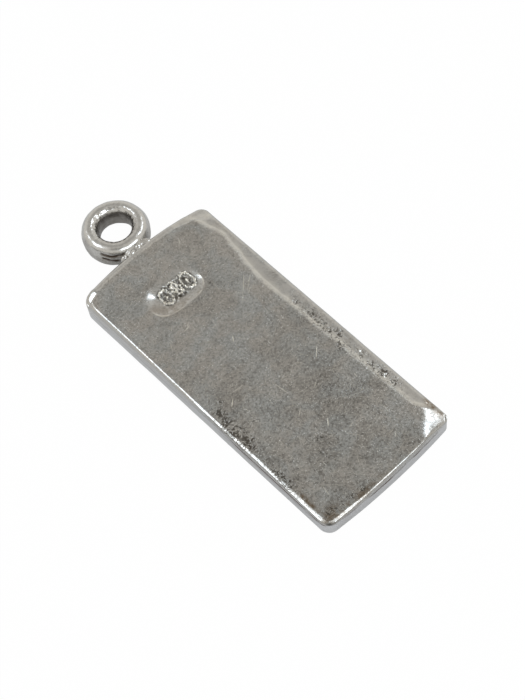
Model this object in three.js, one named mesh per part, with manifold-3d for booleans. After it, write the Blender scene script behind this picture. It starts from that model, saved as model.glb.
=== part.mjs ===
// A rectangular silver pendant, lying on its front with its back up, in millimetres.
// X runs across the plate, Y along it towards the hanging ring, Z up from the resting face.
// The origin is on the resting face, under the middle of the whole pendant, ring included.

import * as THREE from 'three';
import { mergeVertices } from 'three/addons/utils/BufferGeometryUtils.js';
import Module from 'manifold-3d';

const wasm = await Module();
wasm.setup();

// Body outline
const plateLength = 26.0; // between the corners, before the ends bow out
const ringEndWidth = 12.15;
const farEndWidth = 11.85;
const ringEndBow = 0.58;
const farEndBow = 0.29;
const cornerRadii = [0.65, 0.8, 0.8, 0.4]; // ring end right and left, far end left and right
const innerCornerRadius = 0.08; // no inner corner is quite sharp

// Back plate
const backThickness = 0.75;
const edgeDrop = 0.46; // how far the rolled edge falls below the flat back
const leftRoll = 0.4; // widths of the rolled edge, seen from above
const rightRoll = 1.4;
const ringEndRollLeft = 0.36;
const ringEndRollRight = 1.0;
const farEndRollLeft = 0.42;
const farEndRollRight = 0.6;
const seamChamfer = 0.05; // the fine groove where the plate meets the walls

// Dent and struck mark in the back
const dentWidth = 4.7;
const dentHeight = 3.0;
const dentDepth = 0.26;
const dentBowlDepth = 1.0; // half height of the ball that the dent is a slice of
const dentX = -0.6;
const dentFromRingEnd = 4.85;
const markPitch = 1.02;
const markSize = 1.0;
const markTall = 1.56; // height over width of each sign in the row
const markLine = 0.2;
const markDot = 0.26;
const markBar = 0.82;
const markBelowBack = 0.06;
const markRoot = 0.1; // how far the marks reach into the metal under the dent
const markX = -0.37;
const markFromRingEnd = 4.7;

// Side wall
const wallHeight = 1.35;
const wallThickness = 0.7;
const rimRound = 0.3; // rounding of the rim that the pendant rests on
const rimLand = 0.2; // the least flat that the rim keeps

// Front plate and the ornament on it
const frontRecess = 0.65; // how deep the front plate lies inside the rim
const frontThickness = 0.4;
const solderGap = 0.02; // hairline between pieces that are soldered side by side
const ropeDiameter = 0.52;
const cornerBall = 0.62;
const ballSink = 0.08; // how far each ball is fused into the front plate
const bossWidth = 5.0;
const bossLength = 8.2;
const bossHeight = 0.5;
const bossWireWidth = 6.0; // on the centre line of the wire
const bossWireLength = 9.2;
const bossWireDiameter = 0.46;
const rosetteFromEnd = 4.7; // from the line between the two corners
const rosetteWireRadius = 1.42;
const rosetteWireDiameter = 0.42;
const heartBall = 0.7;
const petalBall = 0.62;
const petalCount = 6;
const spacerBall = 0.6;

// Hanging ring
const ringHole = 2.38;
const ringWidth = 1.52; // metal between the hole and the outside
const ringDepth = 2.2; // along the axis of the hole
const ringGap = 0.1; // between the ring and the plate, filled by the foot
const footWidth = 3.1;
const footReach = 1.5;
const footDepth = 1.5;

// Worked out from the sizes above
const width = (ringEndWidth + farEndWidth) / 2;
const taper = (ringEndWidth - farEndWidth) / (ringEndWidth + farEndWidth);
const halfWidth = width / 2;
const halfLength = plateLength / 2;
const ringOuter = ringHole + 2 * ringWidth;
const plateShift = -(ringEndBow + ringGap + ringOuter - farEndBow) / 2;
const backBottom = wallHeight;
const backTop = wallHeight + backThickness;
const ringEndY = plateShift + halfLength + ringEndBow;
const ringY = ringEndY + ringGap + ringOuter / 2;
const ringZ = ringDepth / 2;
const cornerSteps = 6;
const endSteps = 12;

const polished = { color: 0xc3bfb6, roughness: 0.25, metalness: 1.0 };
const worn = { color: 0x9b968c, roughness: 0.45, metalness: 1.0 };
const darkened = { color: 0x7d7970, roughness: 0.5, metalness: 1.0 };

const pendant = new THREE.Group();

function place(name, geometry, look, x = 0, y = 0, z = 0) {
  const mesh = new THREE.Mesh(geometry, new THREE.MeshStandardMaterial(look));
  mesh.name = name;
  mesh.position.set(x, y, z);
  pendant.add(mesh);
}

// The body's outline is a rounded rectangle that is drawn a little wider at the ring end,
// with both short ends bowed out.
function bend(x, y) {
  const along = y / halfLength;
  const bow = y > 0 ? ringEndBow : farEndBow;
  const across = x / halfWidth;
  return new THREE.Vector2(x * (1 + taper * along), plateShift + y + bow * (1 - across * across) * along);
}

function roundedRectangle(halfX, halfY, radii) {
  const corners = [
    [1, 1, 0, endSteps],
    [-1, 1, 1, 1],
    [-1, -1, 2, endSteps],
    [1, -1, 3, 1],
  ];
  const points = [];
  for (const [sideX, sideY, quarter, stepsAfter] of corners) {
    const radius = radii[quarter];
    const centre = new THREE.Vector2(sideX * (halfX - radius), sideY * (halfY - radius));
    for (let step = 0; step <= cornerSteps; step += 1) {
      const angle = (quarter + step / cornerSteps) * (Math.PI / 2);
      const offset = new THREE.Vector2(Math.cos(angle), Math.sin(angle)).multiplyScalar(radius);
      points.push(centre.clone().add(offset));
    }
    const next = corners[(quarter + 1) % 4];
    const nextRadius = radii[next[2]];
    const nextAngle = next[2] * (Math.PI / 2);
    const nextStart = new THREE.Vector2(
      next[0] * (halfX - nextRadius) + nextRadius * Math.cos(nextAngle),
      next[1] * (halfY - nextRadius) + nextRadius * Math.sin(nextAngle),
    );
    const last = points[points.length - 1];
    for (let step = 1; step < stepsAfter; step += 1) {
      points.push(last.clone().lerp(nextStart, step / stepsAfter));
    }
  }
  return points;
}

function outline(inset) {
  const radii = cornerRadii.map((radius) => Math.max(radius - inset, innerCornerRadius));
  const corners = roundedRectangle(halfWidth - inset, halfLength - inset, radii);
  return corners.map((point) => bend(point.x, point.y));
}

// Where the flat of the back begins: the rolled edge has its own width on each side.
function flatOutline() {
  return roundedRectangle(halfWidth, halfLength, cornerRadii).map((point) => {
    const across = (point.x / halfWidth + 1) / 2;
    const along = (point.y / halfLength + 1) / 2;
    const farRoll = THREE.MathUtils.lerp(farEndRollLeft, farEndRollRight, across);
    const ringRoll = THREE.MathUtils.lerp(ringEndRollLeft, ringEndRollRight, across);
    const x = THREE.MathUtils.lerp(-halfWidth + leftRoll, halfWidth - rightRoll, across);
    const y = THREE.MathUtils.lerp(-halfLength + farRoll, halfLength - ringRoll, along);
    return bend(x, y);
  });
}

// Joins loops of equal length, each a list of Vector3, into one closed skin. Loops that run round
// a ring close on themselves; the others get a flat cap at each end.
function skin(loops, closed) {
  const count = loops[0].length;
  const positions = [];
  const faces = [];
  for (const loop of loops) {
    for (const point of loop) positions.push(point.x, point.y, point.z);
  }
  const strips = closed ? loops.length : loops.length - 1;
  for (let row = 0; row < strips; row += 1) {
    const below = row * count;
    const above = ((row + 1) % loops.length) * count;
    for (let i = 0; i < count; i += 1) {
      const j = (i + 1) % count;
      faces.push(below + i, below + j, above + j, below + i, above + j, above + i);
    }
  }
  if (!closed) {
    const flat = (loop) => loop.map((point) => new THREE.Vector2(point.x, point.y));
    const lastStart = (loops.length - 1) * count;
    for (const [a, b, c] of THREE.ShapeUtils.triangulateShape(flat(loops[0]), [])) faces.push(a, c, b);
    for (const [a, b, c] of THREE.ShapeUtils.triangulateShape(flat(loops.at(-1)), [])) {
      faces.push(lastStart + a, lastStart + b, lastStart + c);
    }
  }
  const geometry = new THREE.BufferGeometry();
  geometry.setAttribute('position', new THREE.Float32BufferAttribute(positions, 3));
  geometry.setIndex(faces);
  return geometry;
}

function raise(points, z) {
  return points.map((point) => new THREE.Vector3(point.x, point.y, z));
}

function toSolid(geometry) {
  const bare = geometry.clone();
  bare.deleteAttribute('normal');
  bare.deleteAttribute('uv');
  const merged = mergeVertices(bare, 1e-5);
  const vertProperties = new Float32Array(merged.attributes.position.array);
  const triVerts = new Uint32Array(merged.index.array);
  return new wasm.Manifold(new wasm.Mesh({ numProp: 3, vertProperties, triVerts }));
}

function toGeometry(solid) {
  const mesh = solid.getMesh();
  const geometry = new THREE.BufferGeometry();
  geometry.setAttribute('position', new THREE.Float32BufferAttribute(mesh.vertProperties, 3));
  geometry.setIndex([...mesh.triVerts]);
  return geometry;
}

function moved(geometry, x, y, z) {
  return geometry.clone().translate(x, y, z);
}

// Back plate

function backBlank() {
  const outer = outline(0);
  const under = outline(seamChamfer);
  const flat = flatOutline();
  const rollSteps = 5;
  const loops = [raise(under, backBottom), raise(outer, backBottom + seamChamfer)];
  for (let step = 0; step <= rollSteps; step += 1) {
    const angle = (step / rollSteps) * (Math.PI / 2);
    const inward = 1 - Math.cos(angle);
    const z = backTop - edgeDrop * (1 - Math.sin(angle));
    loops.push(outer.map((point, i) => {
      const x = THREE.MathUtils.lerp(point.x, flat[i].x, inward);
      const y = THREE.MathUtils.lerp(point.y, flat[i].y, inward);
      return new THREE.Vector3(x, y, z);
    }));
  }
  return skin(loops, false);
}

function dentTool() {
  const rise = dentBowlDepth - dentDepth;
  const slice = Math.sqrt(1 - (rise / dentBowlDepth) ** 2); // width of the slice over width of the ball
  const ball = new THREE.SphereGeometry(1, 40, 20);
  ball.rotateX(Math.PI / 2);
  ball.scale(dentWidth / 2 / slice, dentHeight / 2 / slice, dentBowlDepth);
  return moved(ball, dentX, plateShift + halfLength - dentFromRingEnd, backTop + rise);
}

function extruded(shape, depth, curveSegments) {
  return new THREE.ExtrudeGeometry(shape, { depth, bevelEnabled: false, curveSegments });
}

// The mark is a plain row of two dotted rings with a crossed lozenge between them.
function dottedRing(depth) {
  const ring = new THREE.Shape().absarc(0, 0, markSize / 2, 0, 2 * Math.PI, false);
  ring.holes.push(new THREE.Path().absarc(0, 0, markSize / 2 - markLine, 0, 2 * Math.PI, true));
  const dot = new THREE.Shape().absarc(0, 0, markDot / 2, 0, 2 * Math.PI, false);
  return [extruded(ring, depth, 8), extruded(dot, depth, 4)];
}

function crossedLozenge(depth) {
  const diamond = (reach) => [
    new THREE.Vector2(reach, 0),
    new THREE.Vector2(0, reach),
    new THREE.Vector2(-reach, 0),
    new THREE.Vector2(0, -reach),
  ];
  const reach = (markPitch - solderGap) / 2;
  const frame = new THREE.Shape(diamond(reach));
  frame.holes.push(new THREE.Path(diamond(reach - markLine * Math.SQRT2).reverse()));
  const bar = new THREE.BoxGeometry(markBar, markLine, depth).translate(0, 0, depth / 2);
  return [extruded(frame, depth, 1), bar.clone().rotateZ(Math.PI / 4), bar.rotateZ(-Math.PI / 4)];
}

function backPlate() {
  const depth = dentDepth + markRoot - markBelowBack;
  const z = backTop - markBelowBack - depth;
  const y = plateShift + halfLength - markFromRingEnd;
  let plate = toSolid(backBlank()).subtract(toSolid(dentTool()));
  const row = [
    [-markPitch, dottedRing(depth)],
    [0, crossedLozenge(depth)],
    [markPitch, dottedRing(depth)],
  ];
  for (const [x, pieces] of row) {
    for (const piece of pieces) {
      const sign = piece.clone().scale(1, markTall, 1);
      plate = plate.add(toSolid(moved(sign, markX + x, y, z)));
    }
  }
  return toGeometry(plate);
}

place('back_plate', backPlate(), worn);

// Side wall, a band round the body with a rounded rim

function sideWall() {
  const roundSteps = 3;
  const round = Math.min(rimRound, wallThickness - rimLand);
  const loops = [
    raise(outline(wallThickness), wallHeight),
    raise(outline(wallThickness), 0),
  ];
  for (let step = 0; step <= roundSteps; step += 1) {
    const angle = (step / roundSteps) * (Math.PI / 2);
    loops.push(raise(outline(round * (1 - Math.sin(angle))), round * (1 - Math.cos(angle))));
  }
  loops.push(raise(outline(0), wallHeight - seamChamfer));
  loops.push(raise(outline(seamChamfer), wallHeight));
  return skin(loops, true);
}

place('side_wall', sideWall(), polished);

// Front plate

const trayInset = wallThickness + solderGap;
const frontShape = new THREE.Shape(outline(trayInset));
place('front_plate', extruded(frontShape, frontThickness, 1), worn, 0, 0, frontRecess);

// Ornament on the front: each ball or dome is fused to the plate by its flat and points down

function ballProfile(diameter, steps) {
  const radius = diameter / 2;
  const start = Math.acos(1 - ballSink / radius);
  const points = [new THREE.Vector2(0, 0)];
  for (let step = 0; step < steps; step += 1) {
    const angle = start + (step / steps) * (Math.PI - start);
    points.push(new THREE.Vector2(radius * Math.sin(angle), radius - ballSink - radius * Math.cos(angle)));
  }
  points.push(new THREE.Vector2(0, diameter - ballSink));
  return points;
}

function ball(name, diameter, spot) {
  const geometry = new THREE.LatheGeometry(ballProfile(diameter, 5), 10);
  geometry.rotateX(-Math.PI / 2);
  place(name, geometry, polished, spot.x, spot.y, frontRecess);
}

class BentLine extends THREE.Curve {
  constructor(from, to, z) {
    super();
    this.from = from;
    this.to = to;
    this.z = z;
  }

  getPoint(t, target = new THREE.Vector3()) {
    const base = this.from.clone().lerp(this.to, t);
    const point = bend(base.x, base.y);
    return target.set(point.x, point.y, this.z);
  }
}

function rope(name, from, to, steps) {
  const z = frontRecess - ropeDiameter / 2;
  const section = new THREE.Shape().absarc(0, 0, ropeDiameter / 2, 0, 2 * Math.PI, false);
  const path = new BentLine(from, to, z);
  const geometry = new THREE.ExtrudeGeometry(section, {
    steps,
    curveSegments: 4,
    bevelEnabled: false,
    extrudePath: path,
  });
  place(name, geometry, darkened);
}

const borderInset = trayInset + Math.max(ropeDiameter, cornerBall) / 2 + solderGap;
const borderX = halfWidth - borderInset;
const borderY = halfLength - borderInset;
const ropeEnd = cornerBall / 2 + solderGap;
const at = (x, y) => new THREE.Vector2(x, y);

rope('border_rope_left', at(-borderX, -borderY + ropeEnd), at(-borderX, borderY - ropeEnd), 1);
rope('border_rope_right', at(borderX, -borderY + ropeEnd), at(borderX, borderY - ropeEnd), 1);
rope('border_rope_ring_end', at(-borderX + ropeEnd, borderY), at(borderX - ropeEnd, borderY), endSteps);
rope('border_rope_far_end', at(-borderX + ropeEnd, -borderY), at(borderX - ropeEnd, -borderY), endSteps);

let cornerNumber = 0;
for (const sideY of [1, -1]) {
  for (const sideX of [-1, 1]) {
    cornerNumber += 1;
    ball(`corner_granule_${cornerNumber}`, cornerBall, bend(sideX * borderX, sideY * borderY));
  }
}

function boss() {
  const rise = 6;
  const profile = [new THREE.Vector2(0, 0)];
  for (let step = 0; step < rise; step += 1) {
    const angle = (step / rise) * (Math.PI / 2);
    profile.push(new THREE.Vector2(Math.cos(angle), bossHeight * Math.sin(angle)));
  }
  profile.push(new THREE.Vector2(0, bossHeight));
  const geometry = new THREE.LatheGeometry(profile, 36);
  geometry.rotateX(-Math.PI / 2);
  geometry.scale(bossWidth / 2, bossLength / 2, 1);
  return geometry;
}

place('boss', boss(), polished, 0, plateShift, frontRecess);

function ovalWire(lengthAcross, lengthAlong, diameter) {
  const stations = 44;
  const sides = 8;
  const loops = [];
  for (let i = 0; i < stations; i += 1) {
    const turn = (i / stations) * 2 * Math.PI;
    const [across, along] = [Math.cos(turn), Math.sin(turn)];
    const centre = new THREE.Vector3((lengthAcross / 2) * across, (lengthAlong / 2) * along, 0);
    const outward = new THREE.Vector3(across / lengthAcross, along / lengthAlong, 0).normalize();
    const loop = [];
    for (let side = 0; side < sides; side += 1) {
      const angle = (side / sides) * 2 * Math.PI;
      const point = centre.clone().addScaledVector(outward, (diameter / 2) * Math.cos(angle));
      point.z -= (diameter / 2) * Math.sin(angle);
      loop.push(point);
    }
    loops.push(loop);
  }
  return skin(loops, true);
}

const bossWire = ovalWire(bossWireWidth, bossWireLength, bossWireDiameter);
place('boss_wire', bossWire, darkened, 0, plateShift, frontRecess - bossWireDiameter / 2);

const rosetteFromMiddle = halfLength - rosetteFromEnd;
const bossEnd = (bossWireLength + bossWireDiameter) / 2;
const rosetteEdge = rosetteFromMiddle - rosetteWireRadius - rosetteWireDiameter / 2;
const spacerFromMiddle = (bossEnd + rosetteEdge) / 2;

let petalNumber = 0;
for (const [number, side] of [[1, 1], [2, -1]]) {
  const y = plateShift + side * rosetteFromMiddle;
  const wire = new THREE.TorusGeometry(rosetteWireRadius, rosetteWireDiameter / 2, 8, 28);
  place(`rosette_wire_${number}`, wire, darkened, 0, y, frontRecess - rosetteWireDiameter / 2);
  ball(`rosette_heart_${number}`, heartBall, at(0, y));
  for (let petal = 0; petal < petalCount; petal += 1) {
    petalNumber += 1;
    const angle = ((petal + 0.5) / petalCount) * 2 * Math.PI;
    const reach = (heartBall + petalBall) / 2 + solderGap;
    const spot = at(reach * Math.cos(angle), y + reach * Math.sin(angle));
    ball(`rosette_petal_${petalNumber}`, petalBall, spot);
  }
  ball(`spacer_granule_${number}`, spacerBall, at(0, plateShift + side * spacerFromMiddle));
}

// Hanging ring and the fused foot that joins it to the plate

function ringProfile(halfAcross, halfDeep) {
  const steps = 20;
  const middle = ringHole / 2 + ringWidth / 2;
  const points = [];
  for (let step = 0; step <= steps; step += 1) {
    const angle = (step / steps) * 2 * Math.PI;
    points.push(new THREE.Vector2(middle + halfAcross * Math.cos(angle), halfDeep * Math.sin(angle)));
  }
  return points;
}

function ringSolid(extra) {
  const ring = new THREE.LatheGeometry(ringProfile(ringWidth / 2 + extra, ringDepth / 2 + extra), 44);
  return ring.rotateX(Math.PI / 2);
}

place('hanging_ring', ringSolid(0), polished, 0, ringY, ringZ);

function ringFoot() {
  const blob = new THREE.SphereGeometry(1, 28, 14);
  blob.rotateX(Math.PI / 2);
  blob.scale(footWidth / 2, footReach, footDepth / 2);
  const foot = toSolid(moved(blob, 0, ringEndY, ringZ));
  const clear = outline(-solderGap);
  const body = toSolid(skin([raise(clear, -ringDepth), raise(clear, 2 * ringDepth)], false));
  const ring = toSolid(moved(ringSolid(solderGap), 0, ringY, ringZ));
  return toGeometry(foot.subtract(body).subtract(ring));
}

place('ring_solder', ringFoot(), worn);

export default pendant;
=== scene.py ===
# A small silver pendant lying on its front: a dented back plate with rolled edges, four walls,
# a thick hanging ring, and wire and ball ornament on the front that faces the floor.
import math

import bmesh
import bpy
from mathutils import Matrix, Vector, noise


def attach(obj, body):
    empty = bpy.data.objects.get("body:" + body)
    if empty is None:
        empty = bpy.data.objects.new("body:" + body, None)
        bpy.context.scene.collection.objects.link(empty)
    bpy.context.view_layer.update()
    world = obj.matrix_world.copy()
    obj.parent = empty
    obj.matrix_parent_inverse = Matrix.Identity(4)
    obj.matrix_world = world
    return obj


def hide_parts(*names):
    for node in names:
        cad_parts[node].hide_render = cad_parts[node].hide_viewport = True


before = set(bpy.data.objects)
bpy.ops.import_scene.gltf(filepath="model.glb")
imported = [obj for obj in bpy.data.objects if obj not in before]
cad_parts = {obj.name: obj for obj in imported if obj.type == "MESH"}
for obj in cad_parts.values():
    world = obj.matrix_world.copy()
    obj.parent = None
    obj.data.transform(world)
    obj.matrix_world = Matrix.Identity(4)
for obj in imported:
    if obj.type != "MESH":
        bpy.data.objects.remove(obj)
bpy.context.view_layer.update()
scene = bpy.context.scene
scene.view_settings.view_transform = "Standard"
print("frame loaded with", len(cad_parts), "nodes")

millimetre = 0.001  # shapes are drawn in millimetres and turned to metres at the end


# camera

cameraSettings = {
    "azimuth": -35.566,  # degrees round the pendant, 0 looks along +Y
    "elevation": 58.950,
    "roll": -8.728,
    "target": (0.0, -2.905, 0.0),  # mm, under the middle of the plate
    "distance": 109.77,  # mm, measured along the view
    "targetRight": -0.031,  # mm, where the target lies from the middle of the picture
    "targetDown": 1.381,
    "lens": 77.50,  # mm on a frame 36 mm high
    "frameHeight": 36.0,
}


def makeCamera(settings):
    azimuth = math.radians(settings["azimuth"])
    elevation = math.radians(settings["elevation"])
    roll = math.radians(settings["roll"])
    flat = math.cos(elevation)
    back = Vector((math.sin(azimuth) * flat, -math.cos(azimuth) * flat, math.sin(elevation)))
    level = (-back).cross(Vector((0, 0, 1))).normalized()
    rise = level.cross(-back)
    right = level * math.cos(roll) + rise * math.sin(roll)
    up = rise * math.cos(roll) - level * math.sin(roll)
    place = Vector(settings["target"]) - right * settings["targetRight"]
    place += up * settings["targetDown"] + back * settings["distance"]
    camera = bpy.data.objects.new("pictureCamera", bpy.data.cameras.new("pictureCamera"))
    camera.data.sensor_fit = "VERTICAL"
    camera.data.sensor_height = settings["frameHeight"]
    camera.data.lens = settings["lens"]
    camera.data.clip_start = 0.002
    turn = Matrix((right, up, back)).transposed().to_4x4()
    camera.matrix_world = Matrix.Translation(place * millimetre) @ turn
    scene.collection.objects.link(camera)
    scene.camera = camera


makeCamera(cameraSettings)
print("camera placed")


# nodes and colours


def linearColour(hexColour):
    channels = [int(hexColour[i : i + 2], 16) / 255 for i in (1, 3, 5)]
    return [c / 12.92 if c <= 0.04045 else ((c + 0.055) / 1.055) ** 2.4 for c in channels] + [1.0]


def addNode(tree, kind, inputs=(), output=0, **settings):
    # inputs is a list in the node's own order, or a dictionary by socket name or number
    node = tree.nodes.new("ShaderNode" + kind)
    for name, value in settings.items():
        setattr(node, name, value)
    for key, value in inputs.items() if isinstance(inputs, dict) else enumerate(inputs):
        if isinstance(value, bpy.types.NodeSocket):
            tree.links.new(value, node.inputs[key])
        else:
            node.inputs[key].default_value = value
    return node.outputs[output] if node.outputs else None


def millimetreCoordinates(tree):
    place = addNode(tree, "TexCoord", output=3)
    return addNode(tree, "Mapping", {"Vector": place, "Scale": (1000, 1000, 1000)})


# room: white paper floor, pale walls, a dimmer ceiling and soft lamps

roomSettings = {
    "bright": 0.95,
    "dim": 0.50,  # the part of the ceiling that the flat back mirrors
    "dimTowards": (0.20, 0.33, 0.92),
    "dimEdge": (4.0, 38.0),  # degrees from its middle, where it starts to brighten and stops
    "warmth": "#FFFDF8",
    "horizonDepth": 0.80,  # the unlit room beyond the paper, on the camera's side
    "horizonTop": 0.20,
    "horizonTowards": (-0.52, -0.85, 0.0),
    "horizonSide": (-0.15, 0.45),  # facing at which it starts and is full
    "horizonFeet": (-0.3, -0.1),  # heights between which it starts, below the paper's edge
    "horizonSoftness": 0.4,  # height under its top at which it is full, as a share of the top
    "lensShade": 0.62,  # how much the camera and its holder darken the room behind them
    "lensShadeSharpness": 16.0,
    "floorGlow": 0.985,  # share of the floor that shows plain white, the rest takes shadows
    "mirroredGlow": 0.20,
    "floorColour": "#D2D2D2",
    "floorSize": 4.0,  # metres
    # the paper is open under the body, so that its front is lit in a view from below
    "openHalf": (0.0050, 0.0120),
    "openY": -0.0029,
}

lampSettings = {
    "leftLamp": {"towards": (-0.45, 0.44, 0.78), "size": (0.30, 0.15), "radiance": 5.0},
    "rightLamp": {"towards": (0.66, 0.03, 0.75), "size": (0.16, 0.16), "radiance": 5.5},
    "frontLamp": {"towards": (0.05, -0.74, 0.62), "size": (0.46, 0.13), "radiance": 5.0},
}
lampDistance = 0.6  # metres
lampTint = "#E6F2FF"  # daylight


def makeRoom(settings):
    world = bpy.data.worlds.new("studioRoom")
    scene.world = world
    world.use_nodes = True
    tree = world.node_tree
    tree.nodes.clear()
    smooth = {"interpolation_type": "SMOOTHSTEP"}
    direction = addNode(tree, "TexCoord", output=0)
    height = addNode(tree, "SeparateXYZ", [direction], 2)

    nearDim = [direction, settings["dimTowards"]]
    nearDim = addNode(tree, "VectorMath", nearDim, 1, operation="DOT_PRODUCT")
    away = addNode(tree, "Math", [nearDim], operation="ARCCOSINE")
    start, end = [math.radians(angle) for angle in settings["dimEdge"]]
    room = addNode(tree, "MapRange", [away, start, end, settings["dim"], settings["bright"]])

    camera = scene.camera.matrix_world.col[2].to_3d()
    facing = addNode(tree, "VectorMath", [direction, camera], 1, operation="DOT_PRODUCT")
    facing = addNode(tree, "Math", [facing, 0.0], operation="MAXIMUM")
    behind = addNode(tree, "Math", [facing, settings["lensShadeSharpness"]], operation="POWER")
    shade = addNode(tree, "Math", [behind, -settings["lensShade"], 1.0], operation="MULTIPLY_ADD")
    room = addNode(tree, "Math", [room, shade], operation="MULTIPLY")

    side = [direction, settings["horizonTowards"]]
    side = addNode(tree, "VectorMath", side, 1, operation="DOT_PRODUCT")
    side = [side, *settings["horizonSide"], 0.0, settings["horizonDepth"]]
    side = addNode(tree, "MapRange", side, **smooth)
    top = settings["horizonTop"]
    low = addNode(tree, "MapRange", [height, top, top * settings["horizonSoftness"]], **smooth)
    above = addNode(tree, "MapRange", [height, *settings["horizonFeet"]], **smooth)
    low = addNode(tree, "Math", [low, above], operation="MULTIPLY")
    dark = addNode(tree, "Math", [low, side], operation="MULTIPLY")
    kept = addNode(tree, "Math", [1.0, dark], operation="SUBTRACT")
    room = addNode(tree, "Math", [room, kept], operation="MULTIPLY")

    cameraRay = addNode(tree, "LightPath", output=0)
    seen = addNode(tree, "MapRange", [cameraRay, 0.0, 1.0, room, 1.0])
    shader = addNode(tree, "Background", [linearColour(settings["warmth"]), seen])
    addNode(tree, "OutputWorld", [shader])


def makeLamp(name, settings):
    data = bpy.data.lights.new(name, "AREA")
    data.shape = "RECTANGLE"
    data.size, data.size_y = settings["size"]
    data.color = linearColour(lampTint)[:3]
    data.energy = settings["radiance"] * math.pi * data.size * data.size_y
    lamp = bpy.data.objects.new(name, data)
    towards = Vector(settings["towards"]).normalized()
    turn = towards.to_track_quat("Z", "Y").to_matrix().to_4x4()
    lamp.matrix_world = Matrix.Translation(towards * lampDistance) @ turn
    scene.collection.objects.link(lamp)


def makeFloor(settings):
    material = bpy.data.materials.new("whitePaperFloor")
    material.use_nodes = True
    tree = material.node_tree
    tree.nodes.clear()
    cameraRay = addNode(tree, "LightPath", output=0)
    glossyRay = addNode(tree, "LightPath", output=3)
    clearRay = addNode(tree, "LightPath", output=7)
    mirrored = addNode(tree, "Math", [glossyRay, settings["mirroredGlow"]], operation="MULTIPLY")
    direct = addNode(tree, "Math", [cameraRay, clearRay], operation="MAXIMUM")
    direct = addNode(tree, "Math", [direct, settings["floorGlow"]], operation="MULTIPLY")
    seen = addNode(tree, "Math", [direct, mirrored], operation="MAXIMUM")
    paper = addNode(tree, "BsdfDiffuse", [linearColour(settings["floorColour"])])
    glow = addNode(tree, "Emission", [(1, 1, 1, 1), 1.0])
    top = addNode(tree, "MixShader", [seen, paper, glow])
    under = addNode(tree, "NewGeometry", output=6)
    clear = addNode(tree, "BsdfTransparent")
    both = addNode(tree, "MixShader", [under, top, clear])  # open to a view from below
    addNode(tree, "OutputMaterial", [both])
    # nine cells without the middle one, and the inner corners moved to the opening
    bm = bmesh.new()
    bmesh.ops.create_grid(bm, x_segments=3, y_segments=3, size=1.0)
    bm.faces.remove(min(bm.faces, key=lambda face: face.calc_center_median().length))
    outer = settings["floorSize"] / 2
    halfX, halfY = settings["openHalf"]
    halfCell = 0.5
    for vert in bm.verts:
        x, y = vert.co.x, vert.co.y
        vert.co.x = math.copysign(outer if abs(x) > halfCell else halfX, x)
        if abs(y) > halfCell:
            vert.co.y = math.copysign(outer, y)
        else:
            vert.co.y = math.copysign(halfY, y) + settings["openY"]
    mesh = bpy.data.meshes.new("floor")
    bm.to_mesh(mesh)
    bm.free()
    mesh.materials.append(material)
    floor = bpy.data.objects.new("floor", mesh)
    scene.collection.objects.link(floor)


makeRoom(roomSettings)
makeFloor(roomSettings)
for lampName, lamp in lampSettings.items():
    makeLamp(lampName, lamp)
print("room and lamps made")


# silver finishes


def newMaterial(name):
    material = bpy.data.materials.new(name)
    material.use_nodes = True
    material.node_tree.nodes.clear()
    return material, material.node_tree


def closeMaterial(tree, colour, roughness, height, depth):
    # depth is the real depth of the pattern in millimetres
    inputs = {"Height": height, "Distance": depth * millimetre, "Strength": 1.0}
    bump = addNode(tree, "Bump", inputs)
    inputs = {"Base Color": colour, "Roughness": roughness, "Metallic": 1.0, "Normal": bump}
    shader = addNode(tree, "BsdfPrincipled", inputs)
    addNode(tree, "OutputMaterial", [shader])


def scratchPattern(tree, place, angle, length, width, spacing):
    # short straight scratches: stretched cells whose middles are drawn as thin dashes
    stretch = spacing * length / width
    turned = addNode(tree, "Mapping", {"Vector": place, "Rotation": (0, 0, math.radians(angle))})
    cells = addNode(tree, "Mapping", {"Vector": turned, "Scale": (1 / stretch, 1 / spacing, 1)})
    near = addNode(tree, "TexVoronoi", {"Vector": cells, "Scale": 1.0}, voronoi_dimensions="2D")
    reach = width / spacing / 2
    smooth = {"interpolation_type": "SMOOTHSTEP"}
    return addNode(tree, "MapRange", [near, reach * 1.3, reach * 0.4], **smooth)


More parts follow.
